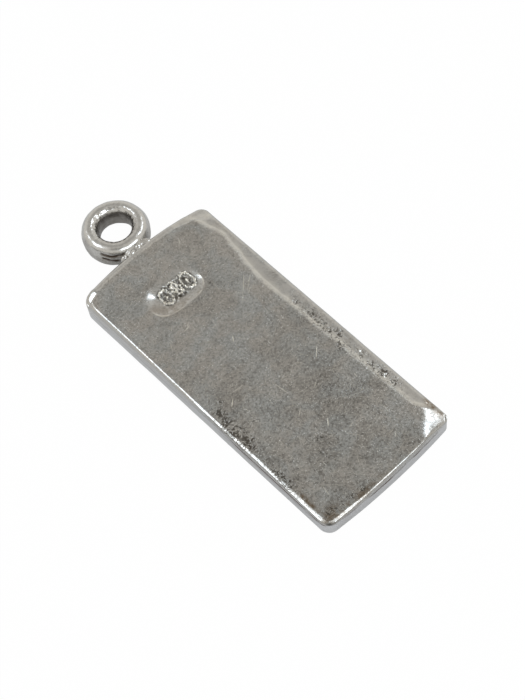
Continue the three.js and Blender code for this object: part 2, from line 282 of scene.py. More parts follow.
wornSheetLook = {
    "coolSilver": "#B2B3B1",
    "warmSilver": "#B5B1AB",
    "rubbedSilver": "#B8B6B2",
    "darkGrain": "#6B6863",
    "paintedGlint": "#D6D3CA",
    "scratchAndHighlightPaint": "#E4E0D4",
    "pit": "#57534D",
    "brownTarnish": "#6E5D49",
    "darkening": "#2F2A21",
    # grain, speck, pocks, cloud, tint and blotch: size in mm, detail, roughness, distortion
    "patterns": [
        (0.19, 3.0, 0.7, 0.0),
        (0.19 / 1.7, 2.0, 0.6, 0.0),
        (0.17, 2.0, 0.5, 0.6),
        (2.8, 4.0, 0.6, 0.3),
        (2.0, 4.0, 0.5, 0.5),
        (0.55, 4.0, 0.6, 0.0),
    ],
    # the noise at which a pattern starts and is full, and what it gives there
    "brokenScratch": (0.46, 0.60, 0.0, 0.54),
    "pitShare": (0.59, 0.69, 0.0, 0.92),
    "pitPatches": (0.22, 0.48, 0.25, 1.0),
    "strayPits": (0.80, 0.88, 0.0, 0.5),
    "warmShare": (0.36, 0.62, 0.0, 1.0),
    "grainShade": (0.42, 0.66, 0.0, 0.57),
    "cloudShade": (0.40, 0.66, 0.0, 0.24),
    "blotchShade": (0.42, 0.66, 0.0, 0.21),
    "speckShine": (0.59, 0.68, 0.0, 0.5),
    "stainPatches": (0.30, 0.58, 0.0, 1.0),
    "pitReach": 0.17,  # how much more of the noise turns to pits in a pitted place
    "pitFelt": 1.9,
    "strayReach": 0.35,
    "keptByPolish": 0.15,  # share of the grain that polish leaves
    "roughness": (0.19, 0.07),  # worn and polished
    "roughnessSwing": 0.12,
    # height of specks, scratches and pits against that of the grain
    "speckHeight": 0.5,
    "scratchHeight": -0.6,
    "pitHeight": -1.2,
    "scratchWidth": 0.045,  # real ones are near 0.01 mm, drawn wider so that they show
    # direction in degrees, length and spacing in mm
    "scratches": [
        (12, 1.1, 0.42),
        (58, 0.9, 0.40),
        (95, 1.3, 0.44),
        (140, 0.8, 0.38),
        (166, 1.5, 0.60),
        (35, 0.5, 0.30),
    ],
    "plateMiddle": -2.905,
    # single deeper scratches: across, along, direction, length, width, strength. With more
    # than about thirty the material gets too big for the renderer and turns black.
    "deepScratches": [
        (-4.05, 5.05, 62, 0.9, 0.07, 0.5),
        (-3.75, 5.35, 100, 0.5, 0.06, 0.4),
        (-2.20, 5.40, 12, 0.9, 0.08, 0.6),
        (-1.95, 5.60, 35, 0.5, 0.07, 0.6),
        (-0.45, 2.35, 55, 0.7, 0.09, 0.8),
        (-0.50, 4.40, 72, 1.0, 0.07, 0.3),
        (3.20, 5.20, 45, 1.7, 0.07, 0.5),
        (3.50, 5.00, 40, 1.3, 0.06, 0.4),
        (3.60, 5.60, 48, 1.1, 0.07, 0.5),
        (3.90, 5.30, 42, 0.9, 0.06, 0.4),
        (3.25, 4.60, 35, 0.9, 0.06, 0.4),
        (2.70, 4.75, 38, 0.8, 0.05, 0.35),
        (3.75, 4.70, 36, 1.0, 0.05, 0.35),
        (2.45, 4.45, 30, 0.6, 0.06, 0.40),
        (2.50, 11.60, 60, 0.9, 0.06, 0.4),
        (-4.05, -1.50, 40, 0.9, 0.09, 0.8),
        (-3.00, -0.95, 175, 1.4, 0.08, 0.35),
        (-0.85, -3.05, 97, 1.8, 0.09, 0.5),
        (3.00, -2.75, 45, 1.4, 0.08, 0.7),
        (-0.40, -7.40, 50, 0.9, 0.09, 0.9),
        (-1.20, -5.40, 40, 1.2, 0.07, 0.4),
        (-4.10, -11.00, 80, 1.1, 0.10, 0.4),
        (-1.00, -11.00, 60, 0.9, 0.07, 0.4),
        (3.20, -9.50, 75, 0.9, 0.07, 0.4),
        (1.10, -4.60, 30, 0.6, 0.08, 0.5),
        (0.60, -8.70, 15, 0.7, 0.07, 0.45),
        (3.60, -6.10, 80, 0.5, 0.08, 0.5),
        (2.20, -11.40, 50, 0.6, 0.08, 0.5),
    ],
    "depth": 0.007,
}


def wornSheetSilver(look):
    # Worn sterling sheet, rolled, annealed and rubbed for years: a grey, softly mirroring
    # face full of short scratches, with pits and brown tarnish where polish never reached.
    material, tree = newMaterial("wornSilverSheet")
    smooth = {"interpolation_type": "SMOOTHSTEP"}
    place = millimetreCoordinates(tree)
    polish, pitting, tarnish, darkening, crownAndHighlight, scuff = [
        addNode(tree, "Attribute", output=2, attribute_name=name)
        for name in ("polish", "pitting", "tarnish", "darkening", "crownAndHighlight", "scuff")
    ]
    noises = []
    for size, detail, roughness, distortion in look["patterns"]:
        pattern = {"Vector": place, "Scale": 1 / size, "Detail": detail}
        pattern.update({"Roughness": roughness, "Distortion": distortion})
        noises.append(addNode(tree, "TexNoise", pattern))
    grain, speck, pocks, cloud, tint, blotch = noises
    wear = addNode(tree, "Math", [1.0, polish], operation="SUBTRACT")

    marks = 0.0
    for angle, length, spacing in look["scratches"]:
        layer = scratchPattern(tree, place, angle, length, look["scratchWidth"], spacing)
        marks = addNode(tree, "Math", [layer, marks], operation="MAXIMUM")
    broken = addNode(tree, "MapRange", [grain, *look["brokenScratch"]], **smooth)
    marks = addNode(tree, "Math", [marks, broken], operation="MULTIPLY")
    for across, along, angle, length, width, strength in look["deepScratches"]:
        turned = {"Vector": place, "Location": (across, along + look["plateMiddle"], 2.1)}
        turned["Rotation"] = (0, 0, math.radians(angle))
        turned["Scale"] = (length / 2, width / 2, 5.0)
        inside = addNode(tree, "Mapping", turned, vector_type="TEXTURE")
        inside = addNode(tree, "VectorMath", [inside], 1, operation="LENGTH")
        line = addNode(tree, "MapRange", [inside, 1.0, 0.5, 0.0, strength], **smooth)
        marks = addNode(tree, "Math", [line, marks], operation="MAXIMUM")

    reach = addNode(tree, "Math", [pitting, look["pitReach"], pocks], operation="MULTIPLY_ADD")
    pits = addNode(tree, "MapRange", [reach, *look["pitShare"]], **smooth)
    patchy = addNode(tree, "MapRange", [blotch, *look["pitPatches"]], **smooth)
    felt = addNode(tree, "Math", [pitting, look["pitFelt"]], operation="MULTIPLY", use_clamp=True)
    felt = addNode(tree, "Math", [felt, patchy], operation="MULTIPLY")
    pits = addNode(tree, "Math", [pits, felt], operation="MULTIPLY")
    reach = addNode(tree, "Math", [blotch, look["strayReach"], speck], operation="MULTIPLY_ADD")
    stray = addNode(tree, "MapRange", [reach, *look["strayPits"]], **smooth)
    stray = addNode(tree, "Math", [stray, wear], operation="MULTIPLY")
    pits = addNode(tree, "Math", [pits, stray], operation="MAXIMUM")

    left = look["keptByPolish"]
    kept = addNode(tree, "Math", [wear, 1 - left, left], operation="MULTIPLY_ADD")
    kept = addNode(tree, "Math", [kept, scuff], operation="MULTIPLY")
    dull = addNode(tree, "MapRange", [grain, *look["grainShade"]], **smooth)
    shade = addNode(tree, "MapRange", [cloud, *look["cloudShade"]], **smooth)
    dapple = addNode(tree, "MapRange", [blotch, *look["blotchShade"]], **smooth)
    shade = addNode(tree, "Math", [shade, dapple], operation="ADD")
    dull = addNode(tree, "Math", [dull, shade], operation="ADD")
    dull = addNode(tree, "Math", [dull, kept], operation="MULTIPLY", use_clamp=True)
    # painted glints: bright specks in the colour where the raised grain would catch the light
    glint = addNode(tree, "MapRange", [speck, *look["speckShine"]], **smooth)
    glint = addNode(tree, "Math", [glint, wear], operation="MULTIPLY")
    # bright scratches, worn crowns of the struck row, and the highlights painted along the dent's lip
    # and the band ridges
    scored = addNode(tree, "Math", [marks, wear], operation="MULTIPLY")
    scored = addNode(tree, "Math", [scored, crownAndHighlight], operation="MAXIMUM")
    stained = addNode(tree, "MapRange", [blotch, *look["stainPatches"]], **smooth)
    stained = addNode(tree, "Math", [stained, tarnish], operation="MULTIPLY")
    warm = addNode(tree, "MapRange", [tint, *look["warmShare"]], **smooth)
    colour = linearColour(look["coolSilver"])
    for share, paint in (
        (warm, "warmSilver"),
        (polish, "rubbedSilver"),
        (dull, "darkGrain"),
        (glint, "paintedGlint"),
        (scored, "scratchAndHighlightPaint"),
        (stained, "brownTarnish"),
        (pits, "pit"),
        (darkening, "darkening"),
    ):
        colours = {0: share, 6: colour, 7: linearColour(look[paint])}
        colour = addNode(tree, "Mix", colours, 2, data_type="RGBA")

    rough = addNode(tree, "MapRange", [polish, 0.0, 1.0, *look["roughness"]])
    uneven = addNode(tree, "Math", [kept, look["roughnessSwing"]], operation="MULTIPLY")
    rough = addNode(tree, "Math", [grain, uneven, rough], operation="MULTIPLY_ADD")
    height = addNode(tree, "Math", [speck, look["speckHeight"], grain], operation="MULTIPLY_ADD")
    height = addNode(tree, "Math", [marks, look["scratchHeight"], height], operation="MULTIPLY_ADD")
    height = addNode(tree, "Math", [height, kept], operation="MULTIPLY")
    height = addNode(tree, "Math", [pits, look["pitHeight"], height], operation="MULTIPLY_ADD")
    closeMaterial(tree, colour, rough, height, look["depth"])
    return material


bandLook = {
    "silver": "#C8C8C9",
    "shade": "#B4B4B4",
    "seamLine": "#4E382C",
    "roughness": 0.16,
    "roughnessSwing": 0.1,
    "rippleSize": 0.9,  # mm, left by filing and rubbing
    "grainSize": 0.16,
    "grainShade": (0.45, 0.72, 0.0, 0.35),
    "rippleShade": (0.45, 0.70, 0.0, 0.25),
    "rippleHeight": 2.0,  # against that of the grain
    "depth": 0.004,
}


def filedBandSilver(look):
    # Sterling strip, filed true and rubbed smooth: bright walls with a soft, rippled mirror.
    material, tree = newMaterial("filedSilverBand")
    smooth = {"interpolation_type": "SMOOTHSTEP"}
    place = millimetreCoordinates(tree)
    seam = addNode(tree, "Attribute", output=2, attribute_name="seam")
    pattern = {"Vector": place, "Scale": 1 / look["rippleSize"], "Detail": 3.0}
    ripples = addNode(tree, "TexNoise", pattern)
    grain = addNode(tree, "TexNoise", {"Vector": place, "Scale": 1 / look["grainSize"], "Detail": 2.0})
    dull = addNode(tree, "MapRange", [grain, *look["grainShade"]], **smooth)
    worn = addNode(tree, "MapRange", [ripples, *look["rippleShade"]], **smooth)
    dull = addNode(tree, "Math", [dull, worn], operation="ADD")
    colours = {0: dull, 6: linearColour(look["silver"]), 7: linearColour(look["shade"])}
    colour = addNode(tree, "Mix", colours, 2, data_type="RGBA")
    line = linearColour(look["seamLine"])
    colour = addNode(tree, "Mix", {0: seam, 6: colour, 7: line}, 2, data_type="RGBA")
    swing = look["roughnessSwing"]
    rough = [grain, swing, look["roughness"] - swing / 2]
    rough = addNode(tree, "Math", rough, operation="MULTIPLY_ADD")
    height = [ripples, look["rippleHeight"], grain]
    height = addNode(tree, "Math", height, operation="MULTIPLY_ADD")
    closeMaterial(tree, colour, rough, height, look["depth"])
    return material


ringLook = {
    "silver": "#BFBDB9",
    "shade": "#98948D",
    # the tarnish colour also carries the painted shade low on the ring's outer side
    "tarnish": "#45372D",
    "roughness": 0.21,
    "roughnessSwing": 0.08,
    "boreRoughness": 0.22,  # added in the bore
    "facetSize": 0.80,  # mm, flats left by the file and the hammer
    "grainSize": 0.20,
    "grainShade": (0.45, 0.72, 0.0, 0.35),
    "tarnishPatches": (0.35, 0.60, 0.66, 1.0),
    "facetHeight": 4.0,  # against that of the grain
    "depth": 0.003,
}


def hammeredRingSilver(look):
    # Thick sterling wire, hammered and filed by hand, worn bright outside and dark in the bore.
    material, tree = newMaterial("hammeredSilverRing")
    smooth = {"interpolation_type": "SMOOTHSTEP"}
    place = millimetreCoordinates(tree)
    bore = addNode(tree, "Attribute", output=2, attribute_name="bore")
    facets = addNode(tree, "TexNoise", {"Vector": place, "Scale": 1 / look["facetSize"], "Detail": 2.0})
    grain = addNode(tree, "TexNoise", {"Vector": place, "Scale": 1 / look["grainSize"], "Detail": 3.0})
    dull = addNode(tree, "MapRange", [grain, *look["grainShade"]], **smooth)
    colours = {0: dull, 6: linearColour(look["silver"]), 7: linearColour(look["shade"])}
    colour = addNode(tree, "Mix", colours, 2, data_type="RGBA")
    # the tarnish mask also holds the painted shade low on the outer side
    inside = addNode(tree, "MapRange", [facets, *look["tarnishPatches"]], **smooth)
    inside = addNode(tree, "Math", [inside, bore], operation="MULTIPLY")
    dark = linearColour(look["tarnish"])
    colour = addNode(tree, "Mix", {0: inside, 6: colour, 7: dark}, 2, data_type="RGBA")
    swing = look["roughnessSwing"]
    rough = [grain, swing, look["roughness"] - swing / 2]
    rough = addNode(tree, "Math", rough, operation="MULTIPLY_ADD")
    rough = addNode(tree, "Math", [bore, look["boreRoughness"], rough], operation="MULTIPLY_ADD")
    height = [facets, look["facetHeight"], grain]
    height = addNode(tree, "Math", height, operation="MULTIPLY_ADD")
    closeMaterial(tree, colour, rough, height, look["depth"])
    return material


wireLook = {
    "silver": "#B9B7B1",
    "groove": "#3B3834",
    "roughness": 0.24,
    "grooveRoughness": 0.3,  # added in the lay
    "grainSize": 0.12,
    "grainShade": (0.40, 0.75, 0.0, 0.25),
    "depth": 0.002,
}


def twistedWireSilver(look):
    # Drawn sterling wire, twisted in pairs: bright on the crowns, black in the lay.
    material, tree = newMaterial("twistedSilverWire")
    place = millimetreCoordinates(tree)
    groove = addNode(tree, "Attribute", output=2, attribute_name="groove")
    grain = addNode(tree, "TexNoise", {"Vector": place, "Scale": 1 / look["grainSize"], "Detail": 2.0})
    dull = addNode(tree, "MapRange", [grain, *look["grainShade"]], interpolation_type="SMOOTHSTEP")
    dark = addNode(tree, "Math", [dull, groove], operation="ADD", use_clamp=True)
    colours = {0: dark, 6: linearColour(look["silver"]), 7: linearColour(look["groove"])}
    colour = addNode(tree, "Mix", colours, 2, data_type="RGBA")
    rough = [dark, look["grooveRoughness"], look["roughness"]]
    rough = addNode(tree, "Math", rough, operation="MULTIPLY_ADD")
    closeMaterial(tree, colour, rough, grain, look["depth"])
    return material


ballLook = {
    "silver": "#C2C0BA",
    "shade": "#A4A19A",
    "blackened": "#34312D",
    "roughness": 0.20,
    "roughnessSwing": 0.14,
    "skinSize": 0.22,  # mm
    "skinShade": (0.40, 0.75, 0.0, 0.5),
    "depth": 0.003,
}


def meltedBallSilver(look):
    # Scrap silver melted into balls on charcoal: round, bright, with a faint frozen skin,
    # and black left round the foot, where the buff doesn't reach.
    material, tree = newMaterial("meltedSilverBall")
    place = millimetreCoordinates(tree)
    foot = addNode(tree, "Attribute", output=2, attribute_name="foot")
    skin = addNode(tree, "TexNoise", {"Vector": place, "Scale": 1 / look["skinSize"], "Detail": 3.0})
    dull = addNode(tree, "MapRange", [skin, *look["skinShade"]], interpolation_type="SMOOTHSTEP")
    colours = {0: dull, 6: linearColour(look["silver"]), 7: linearColour(look["shade"])}
    colour = addNode(tree, "Mix", colours, 2, data_type="RGBA")
    black = linearColour(look["blackened"])
    colour = addNode(tree, "Mix", {0: foot, 6: colour, 7: black}, 2, data_type="RGBA")
    swing = look["roughnessSwing"]
    rough = [skin, swing, look["roughness"] - swing / 2]
    rough = addNode(tree, "Math", rough, operation="MULTIPLY_ADD")
    closeMaterial(tree, colour, rough, skin, look["depth"])
    return material


frontLook = {
    "silver": "#8E8B85",
    "blackened": "#3A3733",
    "roughness": 0.42,
    "roughnessSwing": 0.2,
    "cloudSize": 2.0,  # mm
    "grainSize": 0.15,
    "blackShare": (0.30, 0.70, 0.35, 0.75),
    "depth": 0.004,
}


def blackenedSheetSilver(look):
    # Sterling sheet with liver-of-sulphur black left in the low places round the ornament.
    material, tree = newMaterial("blackenedSilverSheet")
    place = millimetreCoordinates(tree)
    cloud = addNode(tree, "TexNoise", {"Vector": place, "Scale": 1 / look["cloudSize"], "Detail": 4.0})
    grain = addNode(tree, "TexNoise", {"Vector": place, "Scale": 1 / look["grainSize"], "Detail": 2.0})
    black = addNode(tree, "MapRange", [cloud, *look["blackShare"]], interpolation_type="SMOOTHSTEP")
    colours = {0: black, 6: linearColour(look["silver"]), 7: linearColour(look["blackened"])}
    colour = addNode(tree, "Mix", colours, 2, data_type="RGBA")
    swing = look["roughnessSwing"]
    rough = [grain, swing, look["roughness"] - swing / 2]
    rough = addNode(tree, "Math", rough, operation="MULTIPLY_ADD")
    closeMaterial(tree, colour, rough, grain, look["depth"])
    return material


wornSheet = wornSheetSilver(wornSheetLook)
filedBand = filedBandSilver(bandLook)
hammeredRing = hammeredRingSilver(ringLook)
twistedWire = twistedWireSilver(wireLook)
meltedBall = meltedBallSilver(ballLook)
blackenedSheet = blackenedSheetSilver(frontLook)
print("silver finishes made")


# the body's outline, shared by the back plate and the walls

bodySettings = {
    "length": 26.0,  # mm, between the corners
    "ringEndWidth": 12.15,
    "farEndWidth": 11.85,
    "ringEndBow": 0.58,
    "farEndBow": 0.29,
    "cornerRadii": {(1, 1): 0.65, (-1, 1): 0.8, (-1, -1): 0.8, (1, -1): 0.4},
    "middle": -2.905,  # the plate's middle along Y
    "backTop": 2.1,
    "wallTop": 1.35,
    "edgeWobble": (0.0125, (0.0125, 1.7, 4.0)),  # the hand-filed outline is never quite straight
    "cornerLeast": 0.08,
}
halfWidth = (bodySettings["ringEndWidth"] + bodySettings["farEndWidth"]) / 4
halfLength = bodySettings["length"] / 2
taper = (bodySettings["ringEndWidth"] - bodySettings["farEndWidth"]) / (4 * halfWidth)


def ripple(x, y, size, seed):
    return noise.noise(Vector((x / size, y / size, seed)))


def uneven(x, y, mean, *waves):
    # a value that rises and falls: its mean, then the height, size in mm and seed of each wave
    return mean + sum(height * ripple(x, y, size, seed) for height, size, seed in waves)


def bend(x, y):
    along = y / halfLength
    bow = bodySettings["ringEndBow"] if y > 0 else bodySettings["farEndBow"]
    across = x / halfWidth
    y += bodySettings["middle"] + bow * (1 - across * across) * along
    return x * (1 + taper * (along if abs(along) < 1 else math.copysign(1, along))), y


def outlinePoint(across, along, inset=0.0):
    # across and along run from -1 to 1, and reach 1 on the outline
    inset += uneven(across * 5, along * 11, *bodySettings["edgeWobble"])
    halfX = halfWidth - inset
    halfY = halfLength - inset
    corner = (1 if across > 0 else -1, 1 if along > 0 else -1)
    radius = max(bodySettings["cornerRadii"][corner] - inset, bodySettings["cornerLeast"])
    x = across * halfX
    y = along * halfY
    overX = (abs(x) - halfX + radius) / radius
    overY = (abs(y) - halfY + radius) / radius
    if overX > 0 and overY > 0:
        newX = halfX - radius + radius * overX * math.sqrt(1 - overY * overY / 2)
        newY = halfY - radius + radius * overY * math.sqrt(1 - overX * overX / 2)
        x = math.copysign(newX, x)
        y = math.copysign(newY, y)
    return bend(x, y)


def finishPiece(name, bm, material, slot, *nodes):
    bmesh.ops.recalc_face_normals(bm, faces=bm.faces)
    bmesh.ops.transform(bm, matrix=Matrix.Scale(millimetre, 4), verts=bm.verts)
    for face in bm.faces:
        face.smooth = True
    mesh = bpy.data.meshes.new(name)
    bm.to_mesh(mesh)
    bm.free()
    mesh.materials.append(material)
    piece = bpy.data.objects.new(name, mesh)
    scene.collection.objects.link(piece)
    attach(piece, "root")
    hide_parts(*nodes)


def smoothStep(value):
    value = min(1.0, max(0.0, value))
    return value * value * (3 - 2 * value)


# back plate

backSettings = {
    # millimetres on the plate, and how many cells lie between each and the next
    "acrossRuler": [(-6.0, 20), (-5.2, 28), (-3.1, 142), (1.6, 30), (4.2, 34), (6.0, 0)],
    "alongRuler": [(-13.0, 18), (-12.2, 190), (6.4, 104), (9.6, 22), (11.9, 24), (13.0, 0)],
    "edgeDrop": 0.46,
    # rolled edges: place along the side, width, width and drop of the tight rim, its squareness
    "leftRoll": [
        (-13.0, 0.28, 0.28, 0.112, 1.02),
        (-10.5, 0.27, 0.27, 0.108, 1.02),
        (-6.0, 0.21, 0.21, 0.089, 1.02),
        (-1.0, 0.17, 0.17, 0.076, 1.02),
        (4.0, 0.23, 0.23, 0.16, 1.5),
        (8.0, 0.32, 0.32, 0.32, 2.0),
        (11.6, 0.34, 0.34, 0.34, 2.0),
        (12.1, 0.50, 0.50, 0.46, 2.0),
        (12.35, 1.15, 1.15, 0.46, 1.02),
        (13.0, 1.15, 1.15, 0.46, 1.02),
    ],
    "rightRoll": [
        (-13.0, 0.34, 0.30, 0.28, 2.0),
        (-12.2, 0.36, 0.30, 0.30, 2.0),
        (-10.4, 1.30, 0.36, 0.28, 2.0),
        (-7.0, 1.42, 0.36, 0.28, 2.0),
        (-4.0, 1.48, 0.36, 0.28, 2.0),
        (0.0, 1.62, 0.36, 0.26, 2.0),
        (4.5, 1.72, 0.36, 0.25, 2.0),
        (6.4, 1.52, 0.36, 0.27, 2.0),
        (7.8, 1.25, 0.36, 0.30, 2.0),
        (9.6, 0.98, 0.36, 0.32, 2.0),
        (11.2, 1.35, 0.36, 0.30, 2.0),
        (13.0, 1.90, 0.36, 0.26, 2.0),
    ],
    "farEndRoll": [
        (-6.0, 0.24, 0.24, 0.175, 1.02),
        (-4.2, 0.22, 0.22, 0.160, 1.02),
        (-1.5, 0.13, 0.13, 0.10, 1.05),
        (3.0, 0.11, 0.11, 0.08, 1.1),
        (4.5, 0.24, 0.22, 0.18, 1.6),
        (6.0, 0.34, 0.30, 0.26, 2.0),
    ],
    "ringEndRoll": [
        (-6.0, 0.32, 0.32, 0.28, 2.0),
        (-5.1, 0.34, 0.32, 0.28, 2.0),
        (-4.5, 0.62, 0.32, 0.28, 2.0),
        (-2.5, 0.62, 0.30, 0.28, 2.0),
        (2.5, 0.66, 0.30, 0.28, 2.0),
        (4.2, 0.92, 0.32, 0.28, 2.0),
        (6.0, 1.50, 0.34, 0.26, 2.0),
    ],
    "edgeWaves": (0.0, (0.5, 1.9, 1.0), (0.3, 0.7, 2.0)),
    "bandComesIn": (0.45, 0.2),  # mm of width by which a band has its full step and slope
    # a highlight is painted along the ridge on the inside of a rolled band
    "ridgeInset": 0.36,
    "ridgeReach": 0.30,
    "ridgePaintedHighlight": 0.26,
    "ridgeLeastWidth": 0.7,
    "ridgeWorn": (0.75, (0.9, 0.6, 36.0)),
    # the slope of a rolled band, and the width and drop of the shallow step where it begins
    "softBand": (0.105, 0.46, 0.088),
    "crispBand": (0.125, 0.17, 0.060),
    "foldCentre": (3.35, -10.35),  # one corner is bent down a little, in an arc round this point
    "foldStart": 2.06,
    "foldSlope": 0.325,
    "foldSoftness": 0.10,
    "foldComesIn": 1.1,
    "foldMost": 0.95,  # share of the full drop
    "sagDepth": 0.32,  # the opposite corner is pressed down, slowly
    "sagReach": (7.0, 9.0),
    "sway": (0.0, (0.016, 5.0, 7.0), (0.0056, 1.6, 8.0)),  # slow rise and fall of the sheet
    "seamGap": 0.02,
    # wear: how soon a falling edge turns polished, then the bent corner's polish and how soon
    "edgePolish": 3.4,
    "bentPolish": (0.28, 5.0),
    "mottle": (0.55, (1.1, 0.8, 21.0), (0.6, 0.25, 22.0)),
    "scuff": (0.79, 0.24),  # at the ring end, and added towards the far end
    "scuffFrom": (3.0, 7.0),  # where along the plate it starts to rise, and over what length
    "scuffWaves": (0.0, (0.5, 4.0, 9.0)),
    # a highlight painted along the dent's rubbed lip, in the bright colour of the worn crowns
    "lipPaintedHighlight": (0.42, 0.36, 0.34),  # strength, the rubbing at which it starts, and its reach
    "crownWorn": (0.75, (0.9, 0.24, 35.0)),
    "crownLeast": 0.15,
}

dentSettings = {
    "centre": (-0.78, 8.0),
    "reachLeft": 2.28,
    "reachRight": 2.36,
    "reachDown": 1.34,
    "reachUp": 1.75,
    "depth": 0.26,
    "leftPower": 2.6,
    "rightPower": 3.6,
    "alongPower": 2.3,
    "crispLip": 0.0010,
    "softLip": 0.09,
    "rubbed": 0.34,
    # the rubbed lip is polished and also carries a painted highlight
    "lipRubAndHighlight": 0.75,
    "rubbedSoon": 3.0,
    # the upper lip is soft and lifts off: where it starts and how fast, and how much higher it
    # starts at the left, beyond what distance from the middle
    "lifted": (0.2, 1.3),
    "liftedLeft": (0.5, 1.2),
    "rim": (0.06, 0.15),  # depth at which the rubbed lip lies, and its reach
    "rimWorn": (0.7, (0.6, 0.5, 6.0)),
    # a thumb-sized press deeper at its upper left: place, reach and depth
    "press": (-1.85, 8.72, 0.62, 0.096),
}

markSettings = {
    "centre": (-0.37, 8.3),
    "pitch": 1.02,
    "size": 1.02,
    "squash": 0.64,  # the row is taller than it is drawn
    "line": 0.15,
    "dot": 0.25,
    "bar": 0.86,
    "height": 0.14,
    "rough": 0.10,  # how far the worn lines wander and break
    "burr": 0.75,  # height of the thin burrs that the punch left between the lines
    "roughSize": 0.22,
    "fineSize": 0.13,
    "lineWorn": (0.8, (0.7, 0.26, 34.0)),
    "burrWorn": (0.6, (0.8, 0.2, 37.0)),
    "burrSize": 0.36,
    "burrThinness": 7.0,
    "burrReach": (1.6, 5.0),  # how far from a line the burrs reach, and how fast they end
    "reach": 0.15,  # how far the black ground reaches from a line
    "zone": (1.66, 0.90),  # half width and height of the blackened ground round the row
    "zonePowers": (6, 4),
    "zoneEdge": 2.0,
    "groundTop": 2.2,  # how soon a rising line is free of black
    "groundWorn": (0.72, (0.4, 0.17, 35.0)),
}

# a soft place and a nick have faded out at this many times their reach
placeEnd = 3.0
nickEnd = 2.5
nickRagged = (0.15, 0.19)  # mm by which a nick's outline wanders, and size of the bends

# raised or sunk specks: across, along, reach, height
nickPlaces = [
    (5.05, -1.70, 0.11, 0.035),
    (5.28, -4.72, 0.12, 0.045),
    (5.10, -7.35, 0.14, 0.040),
    (5.32, -7.55, 0.10, -0.040),
    (4.62, -3.45, 0.13, -0.040),
    (4.85, 0.55, 0.11, 0.030),
    (4.70, -6.30, 0.10, -0.035),
    (5.40, 1.85, 0.10, 0.030),
    (4.95, 1.35, 0.12, -0.035),
    (5.45, -2.75, 0.12, -0.040),
    (5.20, -9.10, 0.10, 0.025),
    (2.95, -10.90, 0.12, -0.030),
    (-4.75, -0.80, 0.14, -0.030),
    (4.10, 3.60, 0.09, 0.020),
]

# stained and pitted places: across, along, reach across, reach along, strength
pittedPlaces = [
    (-5.55, -2.70, 0.62, 1.50, 1.0),
    (-5.40, -4.50, 0.60, 0.90, 0.9),
    (-5.25, -1.50, 0.34, 0.55, 0.8),
    (-4.55, -0.90, 0.24, 0.45, 0.8),
    (-4.00, -3.70, 0.40, 0.28, 0.7),
    (-5.60, -8.40, 0.45, 1.80, 0.75),
    (-4.80, -12.20, 1.10, 0.60, 0.6),
    (-2.40, -12.40, 1.60, 0.35, 0.6),
    (-2.00, -3.60, 1.00, 0.90, 0.38),
    (1.58, 6.95, 0.10, 0.34, 1.0),
    (-1.70, -7.70, 0.50, 0.40, 0.45),
    (-2.40, -8.80, 1.40, 1.20, 0.36),
    (-2.30, -6.20, 1.20, 1.20, 0.35),
    (5.10, -0.10, 0.26, 0.38, 0.7),
    (5.00, 1.40, 0.26, 0.40, 0.5),
    (5.40, -2.60, 0.22, 0.60, 0.7),
    (4.45, -3.50, 0.34, 0.30, 0.8),
    (5.25, -7.40, 0.30, 0.30, 0.6),
    (5.30, -8.40, 0.26, 0.30, 0.6),
    (4.90, -1.50, 0.55, 2.60, 0.56),
    (5.10, -6.60, 0.55, 2.40, 0.56),
    (2.90, -2.80, 0.60, 0.50, 0.5),
    (2.80, -9.30, 0.40, 0.60, 0.4),
    (1.20, -4.90, 1.10, 1.60, 0.30),
    (2.60, -6.60, 1.20, 1.30, 0.34),
]
brownPlaces = [
    (-5.58, -10.10, 0.22, 0.50, 1.0),
    (-5.62, -11.10, 0.16, 0.60, 0.9),
    (-5.00, -12.30, 0.90, 0.50, 0.7),
    (5.72, -11.30, 0.26, 0.55, 1.0),
    (5.70, -12.20, 0.26, 0.50, 0.7),
    (-3.00, -12.70, 2.40, 0.30, 0.7),
    (-2.75, 8.00, 0.45, 0.60, 0.28),
    (-1.90, 7.30, 1.40, 0.75, 0.34),
    (-0.10, 7.00, 1.50, 0.42, 0.14),
]
# polished places that stayed dull
dullPlaces = [
    (-5.40, 12.50, 0.80, 0.60, 1.0),
    (5.45, 10.50, 0.45, 2.60, 0.75),
    (5.50, 5.60, 0.45, 3.20, 0.80),
    (5.25, 0.20, 0.60, 2.80, 0.90),
    (5.25, -5.50, 0.60, 3.60, 0.85),
    (3.60, 12.75, 1.80, 0.30, 0.40),
]
# dark colour painted at the far left corner
darkCornerPlaces = [
    (-5.92, -13.05, 0.30, 0.22, 1.0),
    (-5.30, -12.95, 0.35, 0.14, 0.35),
]


def onRuler(ruler, share):
    cell = share * sum(count for _, count in ruler)
    for (start, count), (end, _) in zip(ruler, ruler[1:]):
        if cell <= count:
            return start + (end - start) * cell / count
        cell -= count
    return ruler[-1][0]


def between(points, place):
    # the values at a place between the points of a side
    for (start, *low), (end, *high) in zip(points, points[1:]):
        if place <= end:
            share = smoothStep((place - start) / (end - start))
            return [a + (b - a) * share for a, b in zip(low, high)]
    return points[-1][1:]


def rollShape(distance, bandStyle, wave, width, rim, rimDrop, power):
    # how far a rolled edge has fallen, as a share of the full drop
    s = backSettings
    width *= wave
    if distance >= width:
        return 0.0
    band = max(0.0, width - rim)
    inward = min(1.0, distance / rim)
    slope, stepWidth, stepDrop = bandStyle
    fullStep, fullSlope = s["bandComesIn"]
    fall = stepDrop * min(1.0, band / fullStep) * smoothStep((width - distance) / stepWidth)
    fall += slope * min(1.0, band / fullSlope) * (width - distance)
    fall += rimDrop * (1 - (1 - (1 - inward) ** power) ** (1 / power))
    return min(1.0, fall / s["edgeDrop"])


